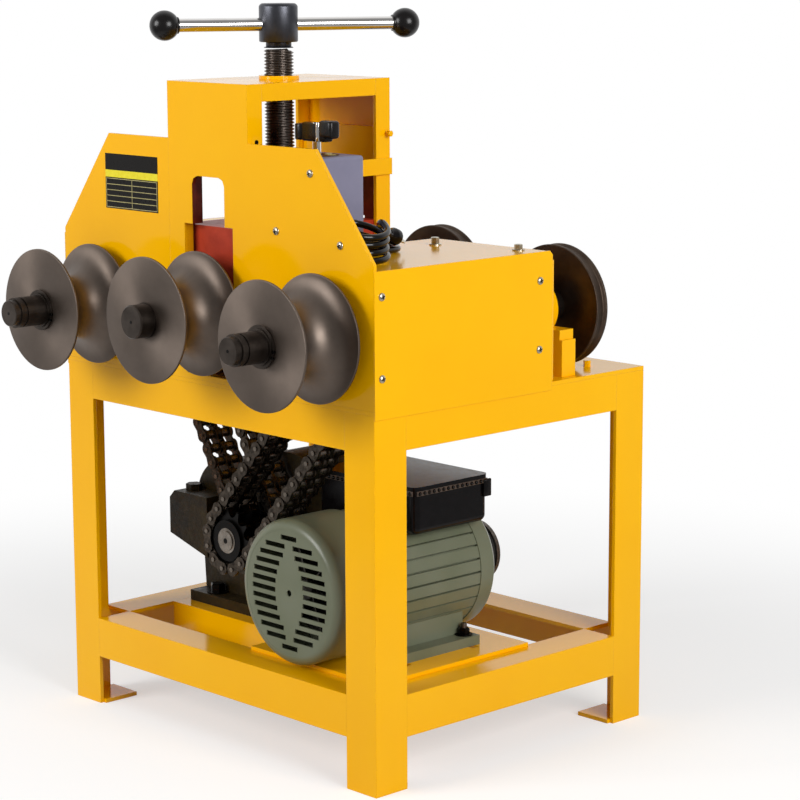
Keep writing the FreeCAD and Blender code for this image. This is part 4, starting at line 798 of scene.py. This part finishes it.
# Centre holes in the ends of the shafts, each drawn as a thin dark disc of painted shade, as a
# name, a body, an end and a radius.
SIDE_STUB, MIDDLE_STUB, OUTPUT_END = -146, -119, 55
CENTRE_HOLE_SHADES = [
    ("left", "left_shaft", (-SHAFT_SPACING, SIDE_STUB, SIDE_SHAFT_Z), 1.9),
    ("middle", "middle_shaft", (0, MIDDLE_STUB, MIDDLE_SHAFT_Z), 1.9),
    ("right", "right_shaft", (SHAFT_SPACING, SIDE_STUB, SIDE_SHAFT_Z), 1.9),
    ("output", "output_shaft", (OUTPUT_X, OUTPUT_END, OUTPUT_Z), 3.4),
]
for name, body, end, radius in CENTRE_HOLE_SHADES:
    mesh = bmesh.new()
    turned_on(mesh, [(0, -0.2), (radius, -0.2), (radius + 0.2, 0.1)], BACK, end, 28)
    finish_piece(f"centre_hole_shade_{name}", mesh, clip_steel_and_painted_shade, body)

# The ears of the spring clips that hold the side rollers.
CLIP_Y, EAR_CIRCLE, EAR_RADIUS, EAR_WAYS = -99.3, 23.4, 2.3, (-26, -8)
for side in ("left", "right"):
    x, z = SHAFTS[side][:2]
    mesh = bmesh.new()
    for way in (math.radians(angle) for angle in EAR_WAYS):
        ear = Vector((x + math.cos(way) * EAR_CIRCLE, CLIP_Y, z + math.sin(way) * EAR_CIRCLE))
        corners = [(0, -1.4, 0), (EAR_RADIUS, -1.4, 0.4), (EAR_RADIUS, 1.1, 0.4), (0, 1.1, 0)]
        turned_on(mesh, eased(corners), BACK, ear, 16)
    finish_piece(f"clip_ears_{side}", mesh, clip_steel_and_painted_shade, f"{side}_shaft")

# The two duplex roller chains.
PITCH_RADIUS, CHAIN_PITCH, PLATE_HEIGHT, PLATE_WALL = 36.8, 19.05, 17, 2.4
INNER_PLATE, OUTER_PLATE, ROW_PITCH = 6.3, 8.9, 22.78
PIN_RADIUS, PIN_PROUD, LINK_ROLLER_RADIUS, TOOTH_TIP = 2.97, 1.3, 5.955, 41
WAIST = 0.72
FIRST_ROWS = {"right": 66, "left": 117}


def chain_pins(low, high):
    """The places of a chain's pins round the sprockets on its two axes."""
    span = (high - low).length
    run = (high - low).normalized()
    side = Vector((-run.z, 0, run.x))
    half_loop = span + math.pi * PITCH_RADIUS
    links = 2 * round(half_loop / CHAIN_PITCH)
    pins = []
    for k in range(links):
        gone = 2 * half_loop * k / links
        centre, way = high, 1
        if gone >= half_loop:
            gone -= half_loop
            centre, way = low, -1
        angle = max(0, gone - span) / PITCH_RADIUS
        spoke = (side * math.cos(angle) + run * math.sin(angle)) * PITCH_RADIUS
        pins.append(centre + (spoke - run * max(0, span - gone)) * way)
    return pins


def plate_shape():
    """One side plate of a link, lying along X between pins one pitch apart."""
    mesh = bmesh.new()
    size = Matrix.Diagonal((CHAIN_PITCH + PLATE_HEIGHT, 1, PLATE_HEIGHT, 1))
    made = bmesh.ops.create_cube(mesh, size=1, matrix=size)
    ends = [e for e in edges_at(made["verts"]) if abs(e.verts[0].co.y - e.verts[1].co.y) > 0.5]
    bevel(mesh, ends, PLATE_HEIGHT / 2 - 0.2, 4)
    cut = bmesh.ops.bisect_plane(
        mesh,
        geom=mesh.verts[:] + mesh.edges[:] + mesh.faces[:],
        plane_co=(0, 0, 0),
        plane_no=RIGHT,
    )
    waist = [v for v in cut["geom_cut"] if isinstance(v, bmesh.types.BMVert)]
    bmesh.ops.scale(mesh, vec=(1, 1, WAIST), verts=waist)
    shape = bpy.data.meshes.new("link_plate")
    mesh.to_mesh(shape)
    mesh.free()
    return shape


def set_plate(mesh, shape, start, end, near, wall=PLATE_WALL):
    """Adds one side plate between two pins."""
    run = end - start
    turn = Matrix.Rotation(math.atan2(-run.z, run.x), 4, "Y")
    size = Matrix.Diagonal((run.length / CHAIN_PITCH, wall, 1, 1))
    place = Matrix.Translation((start + end) / 2 + Vector((0, near + wall / 2, 0)))
    first = len(mesh.verts)
    mesh.from_mesh(shape)
    mesh.verts.ensure_lookup_table()
    bmesh.ops.transform(mesh, matrix=place @ turn @ size, verts=mesh.verts[first:])


def set_pin(mesh, at, near, far, radius, sides):
    """Adds a pin or a roller between two distances back from the front."""
    bmesh.ops.create_cone(
        mesh,
        cap_ends=True,
        segments=sides,
        radius1=radius,
        radius2=radius,
        depth=far - near,
        matrix=stood_on(BACK, at + Vector((0, (near + far) / 2, 0))),
    )


def draw_chain(side, shaft_x, first_row, shape):
    """A chain's plates and its pins with their rollers. Round the sprockets the teeth
    fill the links, so the rollers are left out there and the pins stop at the teeth."""
    low = Vector((OUTPUT_X, 0, OUTPUT_Z))
    high = Vector((shaft_x, 0, SIDE_SHAFT_Z))
    pins = chain_pins(low, high)
    plates, bright = bmesh.new(), bmesh.new()
    rows = (first_row, first_row + ROW_PITCH)
    reach = OUTER_PLATE + PLATE_WALL + PIN_PROUD
    ends = [rows[0] - reach, rows[1] + reach]
    teeth = [row + gap for row in rows for gap in (-INNER_PLATE, INNER_PLATE)]
    clear = TOOTH_TIP + LINK_ROLLER_RADIUS + 1
    for k, start in enumerate(pins):
        end = pins[(k + 1) % len(pins)]
        if k % 2:
            for row in rows:
                set_plate(plates, shape, start, end, row - INNER_PLATE - PLATE_WALL)
                set_plate(plates, shape, start, end, row + INNER_PLATE)
        else:
            between = ROW_PITCH - 2 * OUTER_PLATE
            set_plate(plates, shape, start, end, rows[0] - OUTER_PLATE - PLATE_WALL)
            set_plate(plates, shape, start, end, rows[0] + OUTER_PLATE, between)
            set_plate(plates, shape, start, end, rows[1] + OUTER_PLATE)
        engaged = min((start - low).length, (start - high).length) <= clear
        stops = [ends[0], *teeth, ends[1]] if engaged else ends
        for near, far in zip(stops[::2], stops[1::2]):
            set_pin(bright, start, near, far, PIN_RADIUS, 12)
        if not engaged:
            for near, far in zip(teeth[::2], teeth[1::2]):
                set_pin(bright, start, near + 0.1, far - 0.1, LINK_ROLLER_RADIUS, 16)
    node = f"chain_{side}"
    finish_piece(f"chain_plates_{side}", plates, chain_steel, "stand", node)
    finish_piece(f"chain_pins_{side}", bright, pin_steel, "stand", node)


link_plate = plate_shape()
for side, first_row in FIRST_ROWS.items():
    draw_chain(side, SHAFTS[side][0], first_row, link_plate)

# The press screw, and the tommy bar with its two ball knobs.
THREAD_PITCH, THREAD_STEPS = 4, 32
THREAD_PROFILE = [(15.6, 0), (15.6, 0.4), (18, 1.7), (18, 2.3), (15.6, 3.6), (15.6, 4)]
SHANK_BOTTOM, SHANK_TOP = 641, 848.5
HUB_TOP, HUB_RADIUS, HUB_CORNER = 902, 23.5, 3.1
BAR_START, BAR_END, BAR_RADIUS = -140, 160, 8
KNOB_RADIUS, KNOB_FLAT, KNOB_NECK, KNOB_COLLAR = 18, 15.2, 14.7, 10


def screw_hub():
    """The screw's own solid with its shank cut away, and its top corners rounded."""
    mesh = bmesh.new()
    mesh.from_mesh(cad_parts["press_screw"].data)
    bmesh.ops.transform(
        mesh, matrix=Matrix.Diagonal((1000, 1000, 1000, 1)), verts=mesh.verts
    )
    bmesh.ops.translate(mesh, vec=(0, CENTRE_Y, 0), verts=mesh.verts)
    bmesh.ops.remove_doubles(mesh, verts=mesh.verts, dist=0.01)
    shank = [
        f
        for f in mesh.faces
        if SHANK_BOTTOM - 1 < f.calc_center_median().z < SHANK_TOP + 0.5
        and abs(f.normal.z) < 0.1
    ]
    bmesh.ops.delete(mesh, geom=shank, context="FACES")
    bmesh.ops.holes_fill(mesh, edges=[e for e in mesh.edges if e.is_boundary], sides=0)
    corner = {
        v
        for v in mesh.verts
        if v.co.z > HUB_TOP - HUB_CORNER
        and math.hypot(v.co.x, v.co.y - SCREW_Y) > HUB_RADIUS - HUB_CORNER
    }
    rim = [
        e
        for e in mesh.edges
        if corner.issuperset(e.verts)
        and abs(e.verts[0].co.z - e.verts[1].co.z) < 0.1
        and e.calc_face_angle(0) > 0.3
    ]
    bevel(mesh, rim, 1.3, 3)
    return mesh


def screw_thread(bottom, top):
    """A right-hand V thread of whole turns, closed by a cap at each end."""
    mesh = bmesh.new()
    turns = int((top - bottom) / THREAD_PITCH)
    points = [mesh.verts.new((radius, SCREW_Y, bottom + lift)) for radius, lift in THREAD_PROFILE]
    edges = [mesh.edges.new(pair) for pair in zip(points, points[1:])]
    bmesh.ops.spin(
        mesh,
        geom=points + edges,
        cent=(0, SCREW_Y, 0),
        axis=UP,
        dvec=(0, 0, THREAD_PITCH / THREAD_STEPS),
        angle=2 * math.pi * turns,
        steps=THREAD_STEPS * turns,
    )
    bmesh.ops.remove_doubles(mesh, verts=mesh.verts, dist=1e-3)
    bmesh.ops.holes_fill(mesh, edges=[e for e in mesh.edges if e.is_boundary], sides=0)
    bmesh.ops.recalc_face_normals(mesh, faces=mesh.faces)
    return mesh


def draw_bar():
    """The bar through the screw's hub, and a knob with a moulded collar on each end."""
    run = Vector((math.cos(BAR_ANGLE), math.sin(BAR_ANGLE), 0))
    middle = Vector((0, SCREW_Y, BAR_HEIGHT))
    bar, knobs = bmesh.new(), bmesh.new()
    rod(bar, BAR_RADIUS, BAR_START, BAR_END, run, middle, 48)
    ball = [
        (0, -KNOB_FLAT - 1.5),
        (KNOB_COLLAR - 0.4, -KNOB_FLAT - 1.5),
        (KNOB_COLLAR, -KNOB_FLAT - 1),
        (KNOB_COLLAR, -KNOB_NECK),
    ]
    first = math.asin(-KNOB_NECK / KNOB_RADIUS)
    for k in range(1, 20):
        angle = first + (math.pi / 2 - first) * k / 20
        ball.append((KNOB_RADIUS * math.cos(angle), KNOB_RADIUS * math.sin(angle)))
    ball.append((0, KNOB_RADIUS))
    for end, way in ((BAR_START, -1), (BAR_END, 1)):
        turned_on(knobs, ball, run * way, middle + run * end, 48)
    finish_piece("tommy_bar_steel", bar, chrome, "tommy_bar", "tommy_bar")
    finish_piece(
        "tommy_bar_knobs", knobs, knob_plastic, "tommy_bar", "tommy_bar"
    )


for name, mesh, finish in (
    ("screw_head", screw_hub(), hub_steel),
    ("screw_thread", screw_thread(SHANK_BOTTOM - 0.5, SHANK_TOP - 3), screw_steel),
):
    finish_piece(name, mesh, finish, "press_screw", "press_screw")
draw_bar()

# The drum switch's handle, and the dial under it.
STEM_X, STEM_Y, SWITCH_TOP = SWITCH_LEFT + 45, 56, COVER_TOP + 118
STEM_RADIUS, STEM_FOOT, STEM_HEAD = 5, -19, 38
GRIP_FOOT, GRIP_HEAD, GRIP_SPAN = SWITCH_TOP + 15, SWITCH_TOP + 41, 58
GRIP_BEHIND, GRIP_AHEAD = GRIP_SPAN * 0.35, GRIP_SPAN * 0.375
DIAL_HOLE, DIAL_RADIUS = 9, 26
MARK_START, MARK_LENGTH, MARK_RADIUS, MARK_WAYS = 13, 10, 1.2, range(30, 360, 60)


def draw_switch_handle():
    """The bright stem with its pin, and the moulded grip: a body, a thicker end and
    a round back."""
    stem = bmesh.new()
    stem_corners = [
        (0, STEM_FOOT, 0),
        (STEM_RADIUS, STEM_FOOT, 0.3),
        (STEM_RADIUS, 16, 0),
        (STEM_RADIUS + 0.8, 16.5, 0.2),
        (STEM_RADIUS + 0.8, STEM_HEAD, 0.6),
        (0, STEM_HEAD, 0),
    ]
    turned_on(stem, eased(stem_corners), UP, (STEM_X, STEM_Y, SWITCH_TOP), 28)
    pin_corners = [(0, 0, 0), (3, 0, 0.6), (3, 22, 0.6), (0, 22, 0)]
    turned_on(stem, eased(pin_corners), UP, (STEM_X + 9.5, STEM_Y - 6.4, GRIP_FOOT + 1.5), 20)
    grip = bmesh.new()
    block(
        grip,
        (STEM_X - GRIP_BEHIND, STEM_Y - 7.4, GRIP_FOOT + 1),
        (STEM_X + GRIP_AHEAD, STEM_Y + 7.4, GRIP_HEAD - 3),
        3.5,
        5,
    )
    block(
        grip,
        (STEM_X + GRIP_SPAN * 0.175, STEM_Y - 8, GRIP_FOOT + 5),
        (STEM_X + GRIP_SPAN / 2 + 3.5, STEM_Y + 8, GRIP_HEAD),
        4,
        5,
    )
    back = [(0, -10, 0), (9, -10, 2.5), (9, 9, 2.5), (0, 9, 0)]
    turned_on(grip, eased(back), UP, (STEM_X - GRIP_SPAN / 2 + 4, STEM_Y, GRIP_FOOT + 12), 28)
    body = "switch_handle"
    finish_piece("switch_stem", stem, chrome, body, body)
    finish_piece("switch_grip", grip, knob_plastic, body, body)


def draw_dial():
    """A flat black ring round the stem, with six raised pale marks."""
    middle = Vector((STEM_X, STEM_Y, SWITCH_TOP))
    dial, marks = bmesh.new(), bmesh.new()
    ring = [(DIAL_HOLE, -0.2), (DIAL_HOLE, 0.5), (DIAL_RADIUS, 0.5), (DIAL_RADIUS, -0.2)]
    turned_on(dial, ring + ring[:1], UP, middle, 48)
    for way in (math.radians(angle) for angle in MARK_WAYS):
        spoke = Vector((math.cos(way), math.sin(way), 0))
        rod(marks, MARK_RADIUS, 0, MARK_LENGTH, spoke, middle + spoke * MARK_START, 12)
    finish_piece("switch_dial", dial, black_print, "stand")
    finish_piece("switch_dial_marks", marks, pale_print, "stand")


draw_switch_handle()
draw_dial()

# The nameplate: a table of pale lines on black, under a yellow band and a header.
PLATE_LEFT, PLATE_RIGHT, PLATE_FOOT, PLATE_HEAD = -199.5, -95.5, 650, 718
TABLE_HEAD = PLATE_FOOT + (PLATE_HEAD - PLATE_FOOT) * 0.57
BAND_HEAD = PLATE_FOOT + (PLATE_HEAD - PLATE_FOOT) * 0.7
TABLE_INSET, TABLE_SPLIT, TABLE_ROWS, LINE_WIDTH = 1.7, 0.51, 5, 0.7
INK_DEPTH, LINE_DEPTH = 0.4, 0.55


def table_lines():
    """The table's lines as areas between two corners, as seen from the front."""
    left, right = PLATE_LEFT + TABLE_INSET, PLATE_RIGHT - TABLE_INSET
    foot, head = PLATE_FOOT + TABLE_INSET, TABLE_HEAD - TABLE_INSET
    half = LINE_WIDTH / 2
    split = left + (right - left) * TABLE_SPLIT
    lines = [((x - half, foot), (x + half, head)) for x in (left, split, right)]
    for k in range(TABLE_ROWS + 1):
        z = foot + (head - foot) * k / TABLE_ROWS
        lines.append(((left, z - half), (right, z + half)))
    return lines


for name, ink, depth, areas in (
    ("table", black_print, INK_DEPTH, [((PLATE_LEFT, PLATE_FOOT), (PLATE_RIGHT, TABLE_HEAD))]),
    ("band", yellow_print, INK_DEPTH, [((PLATE_LEFT, TABLE_HEAD), (PLATE_RIGHT, BAND_HEAD))]),
    ("header", black_print, INK_DEPTH, [((PLATE_LEFT, BAND_HEAD), (PLATE_RIGHT, PLATE_HEAD))]),
    ("lines", pale_print, LINE_DEPTH, table_lines()),
):
    mesh = bmesh.new()
    for (left, foot), (right, head) in areas:
        block(mesh, (left, -depth, foot), (right, 0.02, head))
    finish_piece(f"nameplate_{name}", mesh, ink, "stand", smooth=False)

# Screws, bolts and nuts.
SCREW_RADIUS, SCREW_RIM, SCREW_DOME = 4.8, 0.6, 2.4
WASHER_WALL = 1.4
WING_SCREWS = [(183.5, 0, 715), (123.5, 0, 645), (233.5, 0, 637)]
COVER_SCREWS = [
    (COVER_FACE, 11, 583),
    (COVER_FACE, 11, 490),
    (COVER_FACE, 269, 577.5),
    (COVER_FACE, 268, 495),
]
MOTOR_FEET = [(MOTOR_X + x, y) for x in (-76, 76) for y in (124, 238)]
FOOT_TOP, FOOT_NUT = 131, 8
DECK_X, DECK_Y, DECK_FOOT, DECK_NUT = -169, 144, 109, 7

# Each name's finish, whether washers lie under its heads, and its heads: a place, a
# way, a width over the flats and a height.
BOLTS = {
    "housing_bolts": (
        zinc,
        True,
        [((148, 233, COVER_TOP), UP, 9, 8), ((259, 263, COVER_TOP), UP, 9, 6)],
    ),
    "painted_bolts": (
        enamel,
        False,
        [
            ((242.5, 344, 453), UP, 8, 8),
            ((241.5, 406, 453), UP, 8, 8),
            ((HALF_TOWER + 4, 222, 744), RIGHT, 7, 5),
        ],
    ),
    "deck_nut": (clip_steel_and_painted_shade, False, [((DECK_X, DECK_Y, DECK_FOOT), DOWN, 10, DECK_NUT)]),
    "gear_foot_bolt": (clip_steel_and_painted_shade, True, [((-192.5, 163, 128), UP, 17, 11)]),
    "motor_foot_nuts": (
        clip_steel_and_painted_shade,
        True,
        [((x, y, FOOT_TOP), UP, 13, FOOT_NUT) for x, y in MOTOR_FEET],
    ),
}


def pan_screw(mesh, at, axis):
    """Adds a pan head: a short rim under a low dome."""
    dome = [(0, 0), (SCREW_RADIUS, 0), (SCREW_RADIUS, SCREW_RIM)]
    for k in range(1, 6):
        angle = math.pi / 2 * k / 6
        lift = SCREW_RIM + SCREW_DOME * math.sin(angle)
        dome.append((SCREW_RADIUS * math.cos(angle), lift))
    dome.append((0, SCREW_RIM + SCREW_DOME))
    turned_on(mesh, dome, axis, at, 24)


def painted_recess_shade(mesh, at, axis):
    """Adds a dark cross of painted shade where a screw's recess is, a hair proud of its dome."""
    at_top = stood_on(axis, Vector(at) + Vector(axis) * (SCREW_RIM + SCREW_RADIUS * 0.38))
    size = Vector((1.1, 0.24, 0.32)) * SCREW_RADIUS
    for turn in (0.35, 0.35 + math.pi / 2):
        spun = Matrix.Rotation(turn, 4, "Z")
        bmesh.ops.create_cube(mesh, size=1, matrix=at_top @ spun @ Matrix.Diagonal((*size, 1)))


def hex_bolt(mesh, at, axis, flats, height, washer):
    """Adds a hexagon head, its corners chamfered, on a washer where one is asked."""
    foot, out = Vector(at), Vector(axis)
    if washer:
        rod(mesh, flats * 0.85, 0, WASHER_WALL, out, foot, 24)
        foot += out * WASHER_WALL
    radius = flats / math.sqrt(3)
    made = bmesh.ops.create_cone(
        mesh,
        cap_ends=True,
        segments=6,
        radius1=radius,
        radius2=radius,
        depth=height,
        matrix=stood_on(out, foot + out * height / 2),
    )
    top = {v for v in made["verts"] if (v.co - foot).dot(out) > height / 2}
    bevel(mesh, [e for e in edges_at(top) if top.issuperset(e.verts)], flats * 0.07, 1)


for name, spots, axis in (("wing", WING_SCREWS, FRONT), ("cover", COVER_SCREWS, RIGHT)):
    heads, crosses = bmesh.new(), bmesh.new()
    for at in spots:
        pan_screw(heads, at, axis)
        painted_recess_shade(crosses, at, axis)
    finish_piece(f"{name}_screws", heads, zinc, "stand")
    finish_piece(f"{name}_screw_recess_shades", crosses, clip_steel_and_painted_shade, "stand")
for name, (finish, washer, heads) in BOLTS.items():
    mesh = bmesh.new()
    for at, axis, flats, height in heads:
        hex_bolt(mesh, at, axis, flats, height, washer)
    finish_piece(name, mesh, finish, "stand", smooth=False)
bolt_ends = bmesh.new()
for x, y in MOTOR_FEET:
    rod(bolt_ends, 4, 0, 7, UP, (x, y, FOOT_TOP + FOOT_NUT), 16, ease=0.8)
rod(bolt_ends, 3.5, 0, 10, DOWN, (DECK_X, DECK_Y, DECK_FOOT - DECK_NUT), 16, ease=0.8)
finish_piece("bolt_ends", bolt_ends, screw_steel, "stand")

# The side covers, and the folds of the housing behind them.
COVER_NOTCH = 5
FOLD_INNER, FOLD_OUTER, FOLD_FRONT, FOLD_BACK = 281, 285.5, 282, 297
FOLD_FOOT, FOLD_HEAD = 453.3, 600
for side, way in (("left", -1), ("right", 1)):
    cover = bmesh.new()
    near, far = sorted((HALF_WIDTH * way, COVER_FACE * way))
    block(cover, (near, 0, COVER_FOOT), (far, COVER_DEPTH, COVER_TOP))
    top_back = {v for v in cover.verts if v.co.y > COVER_DEPTH - 1 and v.co.z > COVER_TOP - 1}
    bevel(cover, [e for e in cover.edges if top_back.issuperset(e.verts)], COVER_NOTCH, 1)
    node = f"side_cover_{side}"
    finish_piece(f"cover_{side}", cover, enamel, "stand", node, smooth=False)
    fold = bmesh.new()
    near, far = sorted((FOLD_INNER * way, FOLD_OUTER * way))
    block(fold, (near, FOLD_FRONT, FOLD_FOOT), (far, FOLD_BACK, FOLD_HEAD), 0.6)
    finish_piece(f"housing_fold_{side}", fold, enamel, "stand")

# A small hole in the tower's right flange, drawn as a dark disc of painted shade.
flange_hole_shade = bmesh.new()
turned_on(
    flange_hole_shade, [(0, 0.15), (2.8, 0.15), (2.9, -0.2)], RIGHT, (HALF_TOWER, 14, 744), 20
)
finish_piece("flange_hole_shade", flange_hole_shade, clip_steel_and_painted_shade, "stand")

# The rolled rim of the motor's fan cowl, as a thin skin over its corner.
COWL_FRONT, COWL_RADIUS, COWL_ROUND, COWL_STEPS = 19, 89, 12, 16


def cowl_arc(gap):
    """The profile of the cowl's corner, standing off it by a gap."""
    reach = COWL_ROUND + gap
    arc = []
    for k in range(COWL_STEPS + 1):
        angle = math.pi / 2 * k / COWL_STEPS
        radius = COWL_RADIUS - COWL_ROUND + reach * math.sin(angle)
        arc.append((radius, COWL_ROUND - reach * math.cos(angle)))
    return arc


cowl_rim = bmesh.new()
skin = cowl_arc(0.25) + cowl_arc(-0.5)[::-1]
turned_on(cowl_rim, skin + skin[:1], BACK, (MOTOR_X, COWL_FRONT, MOTOR_Z), 96)
finish_piece("cowl_rim", cowl_rim, motor_paint, "stand")

# The capacitor lid's seam, as a pale brown strip that is a painted reflection of the gap between
# lid and box, with its row of beads, and its latch.
LID_LEFT, LID_RIGHT, LID_FRONT, LID_BACK, SEAM = 26, 202, 145.5, 273.5, 321
SEAM_FOOT, SEAM_HEAD, LID_CORNER, SEAM_PROUD = SEAM - 1, SEAM + 5, 4, 0.5
BEAD_RADIUS, BEAD_GAP, SIDE_BEADS, FRONT_BEADS = 2.4, 8, 15, 21
seam, beads, latch = bmesh.new(), bmesh.new(), bmesh.new()
block(
    seam,
    (LID_RIGHT - 1, LID_FRONT + LID_CORNER, SEAM_FOOT),
    (LID_RIGHT + SEAM_PROUD, LID_BACK - LID_CORNER, SEAM_HEAD),
    0.3,
)
block(
    seam,
    (LID_LEFT + LID_CORNER, LID_FRONT - SEAM_PROUD, SEAM_FOOT),
    (LID_RIGHT - LID_CORNER, LID_FRONT + 1, SEAM_HEAD),
    0.3,
)
bead_spots = [
    (LID_RIGHT + SEAM_PROUD, LID_FRONT + BEAD_GAP * k) for k in range(1, SIDE_BEADS + 1)
]
bead_spots += [
    (LID_LEFT + BEAD_GAP * k, LID_FRONT - SEAM_PROUD) for k in range(1, FRONT_BEADS + 1)
]
for x, y in bead_spots:
    bmesh.ops.create_uvsphere(
        beads,
        u_segments=12,
        v_segments=8,
        radius=BEAD_RADIUS,
        matrix=Matrix.Translation((x, y, SEAM + 2)),
    )
block(latch, (LID_RIGHT - 1.2, 262, 303), (LID_RIGHT + 2.2, 275, 325), 1.4, 3)
for name, mesh, finish in (
    ("lid_seam_reflection", seam, seam_reflection_plastic),
    ("lid_beads", beads, box_plastic),
    ("lid_latch", latch, box_plastic),
):
    finish_piece(name, mesh, finish, "stand")

# Light, floor and background. The paper and the room behind the object are white. In
# reflections the room on the camera's side is dim, as a studio is behind its lamps.
WHITE = (1, 1, 1, 1)
FILL_LIGHT, PAPER_GLOW = 0.34, 0.5
LAMP_AIM, LAMP_SIZE = (0, 0, 0.6), 1.6
FLOOR_REACH, FADE_START, FADE_END = 30, 0.6, 1.5


def room_light(tree, way, path):
    """How bright the room is along a way from the object, with 1 for white."""
    away = add(tree, "ShaderNodeVectorMath", {0: way}, operation="NORMALIZE").outputs[0]
    share = add(tree, "ShaderNodeVectorMath", {0: away, 1: AWAY}, operation="DOT_PRODUCT")
    spread = add(
        tree,
        "ShaderNodeMapRange",
        {
            "Value": share.outputs["Value"],
            "From Min": -0.2,
            "From Max": 0.5,
            "To Min": 0.3,
            "To Max": 1,
        },
        interpolation_type="SMOOTHSTEP",
    )
    bright = {0: spread.outputs["Result"], 1: path.outputs["Is Camera Ray"]}
    return add(tree, "ShaderNodeMath", bright, operation="MAXIMUM").outputs[0]


def looked_at(tree, path):
    """1 for the rays that show the background: from the camera, gloss and glass."""
    seen = path.outputs["Is Camera Ray"]
    for ray in ("Is Glossy Ray", "Is Transmission Ray"):
        either = {0: seen, 1: path.outputs[ray]}
        seen = add(tree, "ShaderNodeMath", either, operation="MAXIMUM").outputs[0]
    return seen


def light_room():
    """The world: soft white fill, and the room where it is looked at."""
    world = bpy.data.worlds.new("studio")
    bpy.context.scene.world = world
    world.use_nodes = True
    tree = world.node_tree
    tree.nodes.clear()
    path = add(tree, "ShaderNodeLightPath")
    way = add(tree, "ShaderNodeTexCoord").outputs["Generated"]
    soft = add(tree, "ShaderNodeBackground", {"Color": WHITE, "Strength": FILL_LIGHT})
    bright = room_light(tree, way, path)
    room = add(tree, "ShaderNodeBackground", {"Color": WHITE, "Strength": bright})
    both = add(
        tree,
        "ShaderNodeMixShader",
        {"Fac": looked_at(tree, path), 1: soft.outputs[0], 2: room.outputs[0]},
    )
    add(tree, "ShaderNodeOutputWorld", {"Surface": both.outputs[0]})


def lamp(name, place, power):
    """A square softbox, turned to the middle of the machine."""
    data = bpy.data.lights.new(name, "AREA")
    data.shape = "SQUARE"
    data.size = LAMP_SIZE
    data.energy = power
    made = bpy.data.objects.new(name, data)
    bpy.context.scene.collection.objects.link(made)
    made.location = place
    aim = Vector(LAMP_AIM) - Vector(place)
    made.rotation_euler = aim.to_track_quat("-Z", "Y").to_euler()


def studio_paper():
    """Matt white paper that glows a little where it is looked at, and that runs into
    the room's own brightness away from the machine."""
    material, tree, surface, place = start_material(
        "studio_paper", Roughness=0.9, Metallic=0, Specular_IOR_Level=0
    )
    surface.inputs["Base Color"].default_value = linear("#C9C9C9")
    path = add(tree, "ShaderNodeLightPath")
    room = room_light(tree, place, path)
    faint = add(tree, "ShaderNodeMath", {0: room, 1: PAPER_GLOW}, operation="MULTIPLY")
    glow = add(tree, "ShaderNodeEmission", {"Color": WHITE, "Strength": faint.outputs[0]})
    near = add(tree, "ShaderNodeAddShader", {0: surface.outputs[0], 1: glow.outputs[0]})
    far = add(tree, "ShaderNodeEmission", {"Color": WHITE, "Strength": room})
    reach = add(tree, "ShaderNodeVectorMath", {0: place}, operation="LENGTH").outputs["Value"]
    fade = add(
        tree,
        "ShaderNodeMapRange",
        {"Value": reach, "From Min": FADE_START, "From Max": FADE_END},
        interpolation_type="SMOOTHSTEP",
    )
    paper = add(
        tree,
        "ShaderNodeMixShader",
        {"Fac": fade.outputs["Result"], 1: near.outputs[0], 2: far.outputs[0]},
    )
    chosen = add(
        tree,
        "ShaderNodeMixShader",
        {"Fac": looked_at(tree, path), 1: surface.outputs[0], 2: paper.outputs[0]},
    )
    tree.links.new(chosen.outputs[0], tree.nodes["Material Output"].inputs["Surface"])
    return material


def lay_floor():
    """A wide sheet of paper under the machine."""
    mesh = bmesh.new()
    bmesh.ops.create_grid(mesh, x_segments=1, y_segments=1, size=FLOOR_REACH)
    data = bpy.data.meshes.new("studio_floor")
    mesh.to_mesh(data)
    mesh.free()
    data.materials.append(studio_paper())
    floor = bpy.data.objects.new("studio_floor", data)
    bpy.context.scene.collection.objects.link(floor)


light_room()
lamp("front_softbox", (-0.9, -3.2, 1.7), 71)
lamp("right_softbox", (3.2, -0.3, 1.6), 73)
lay_floor()
bpy.context.scene.view_settings.view_transform = "Standard"
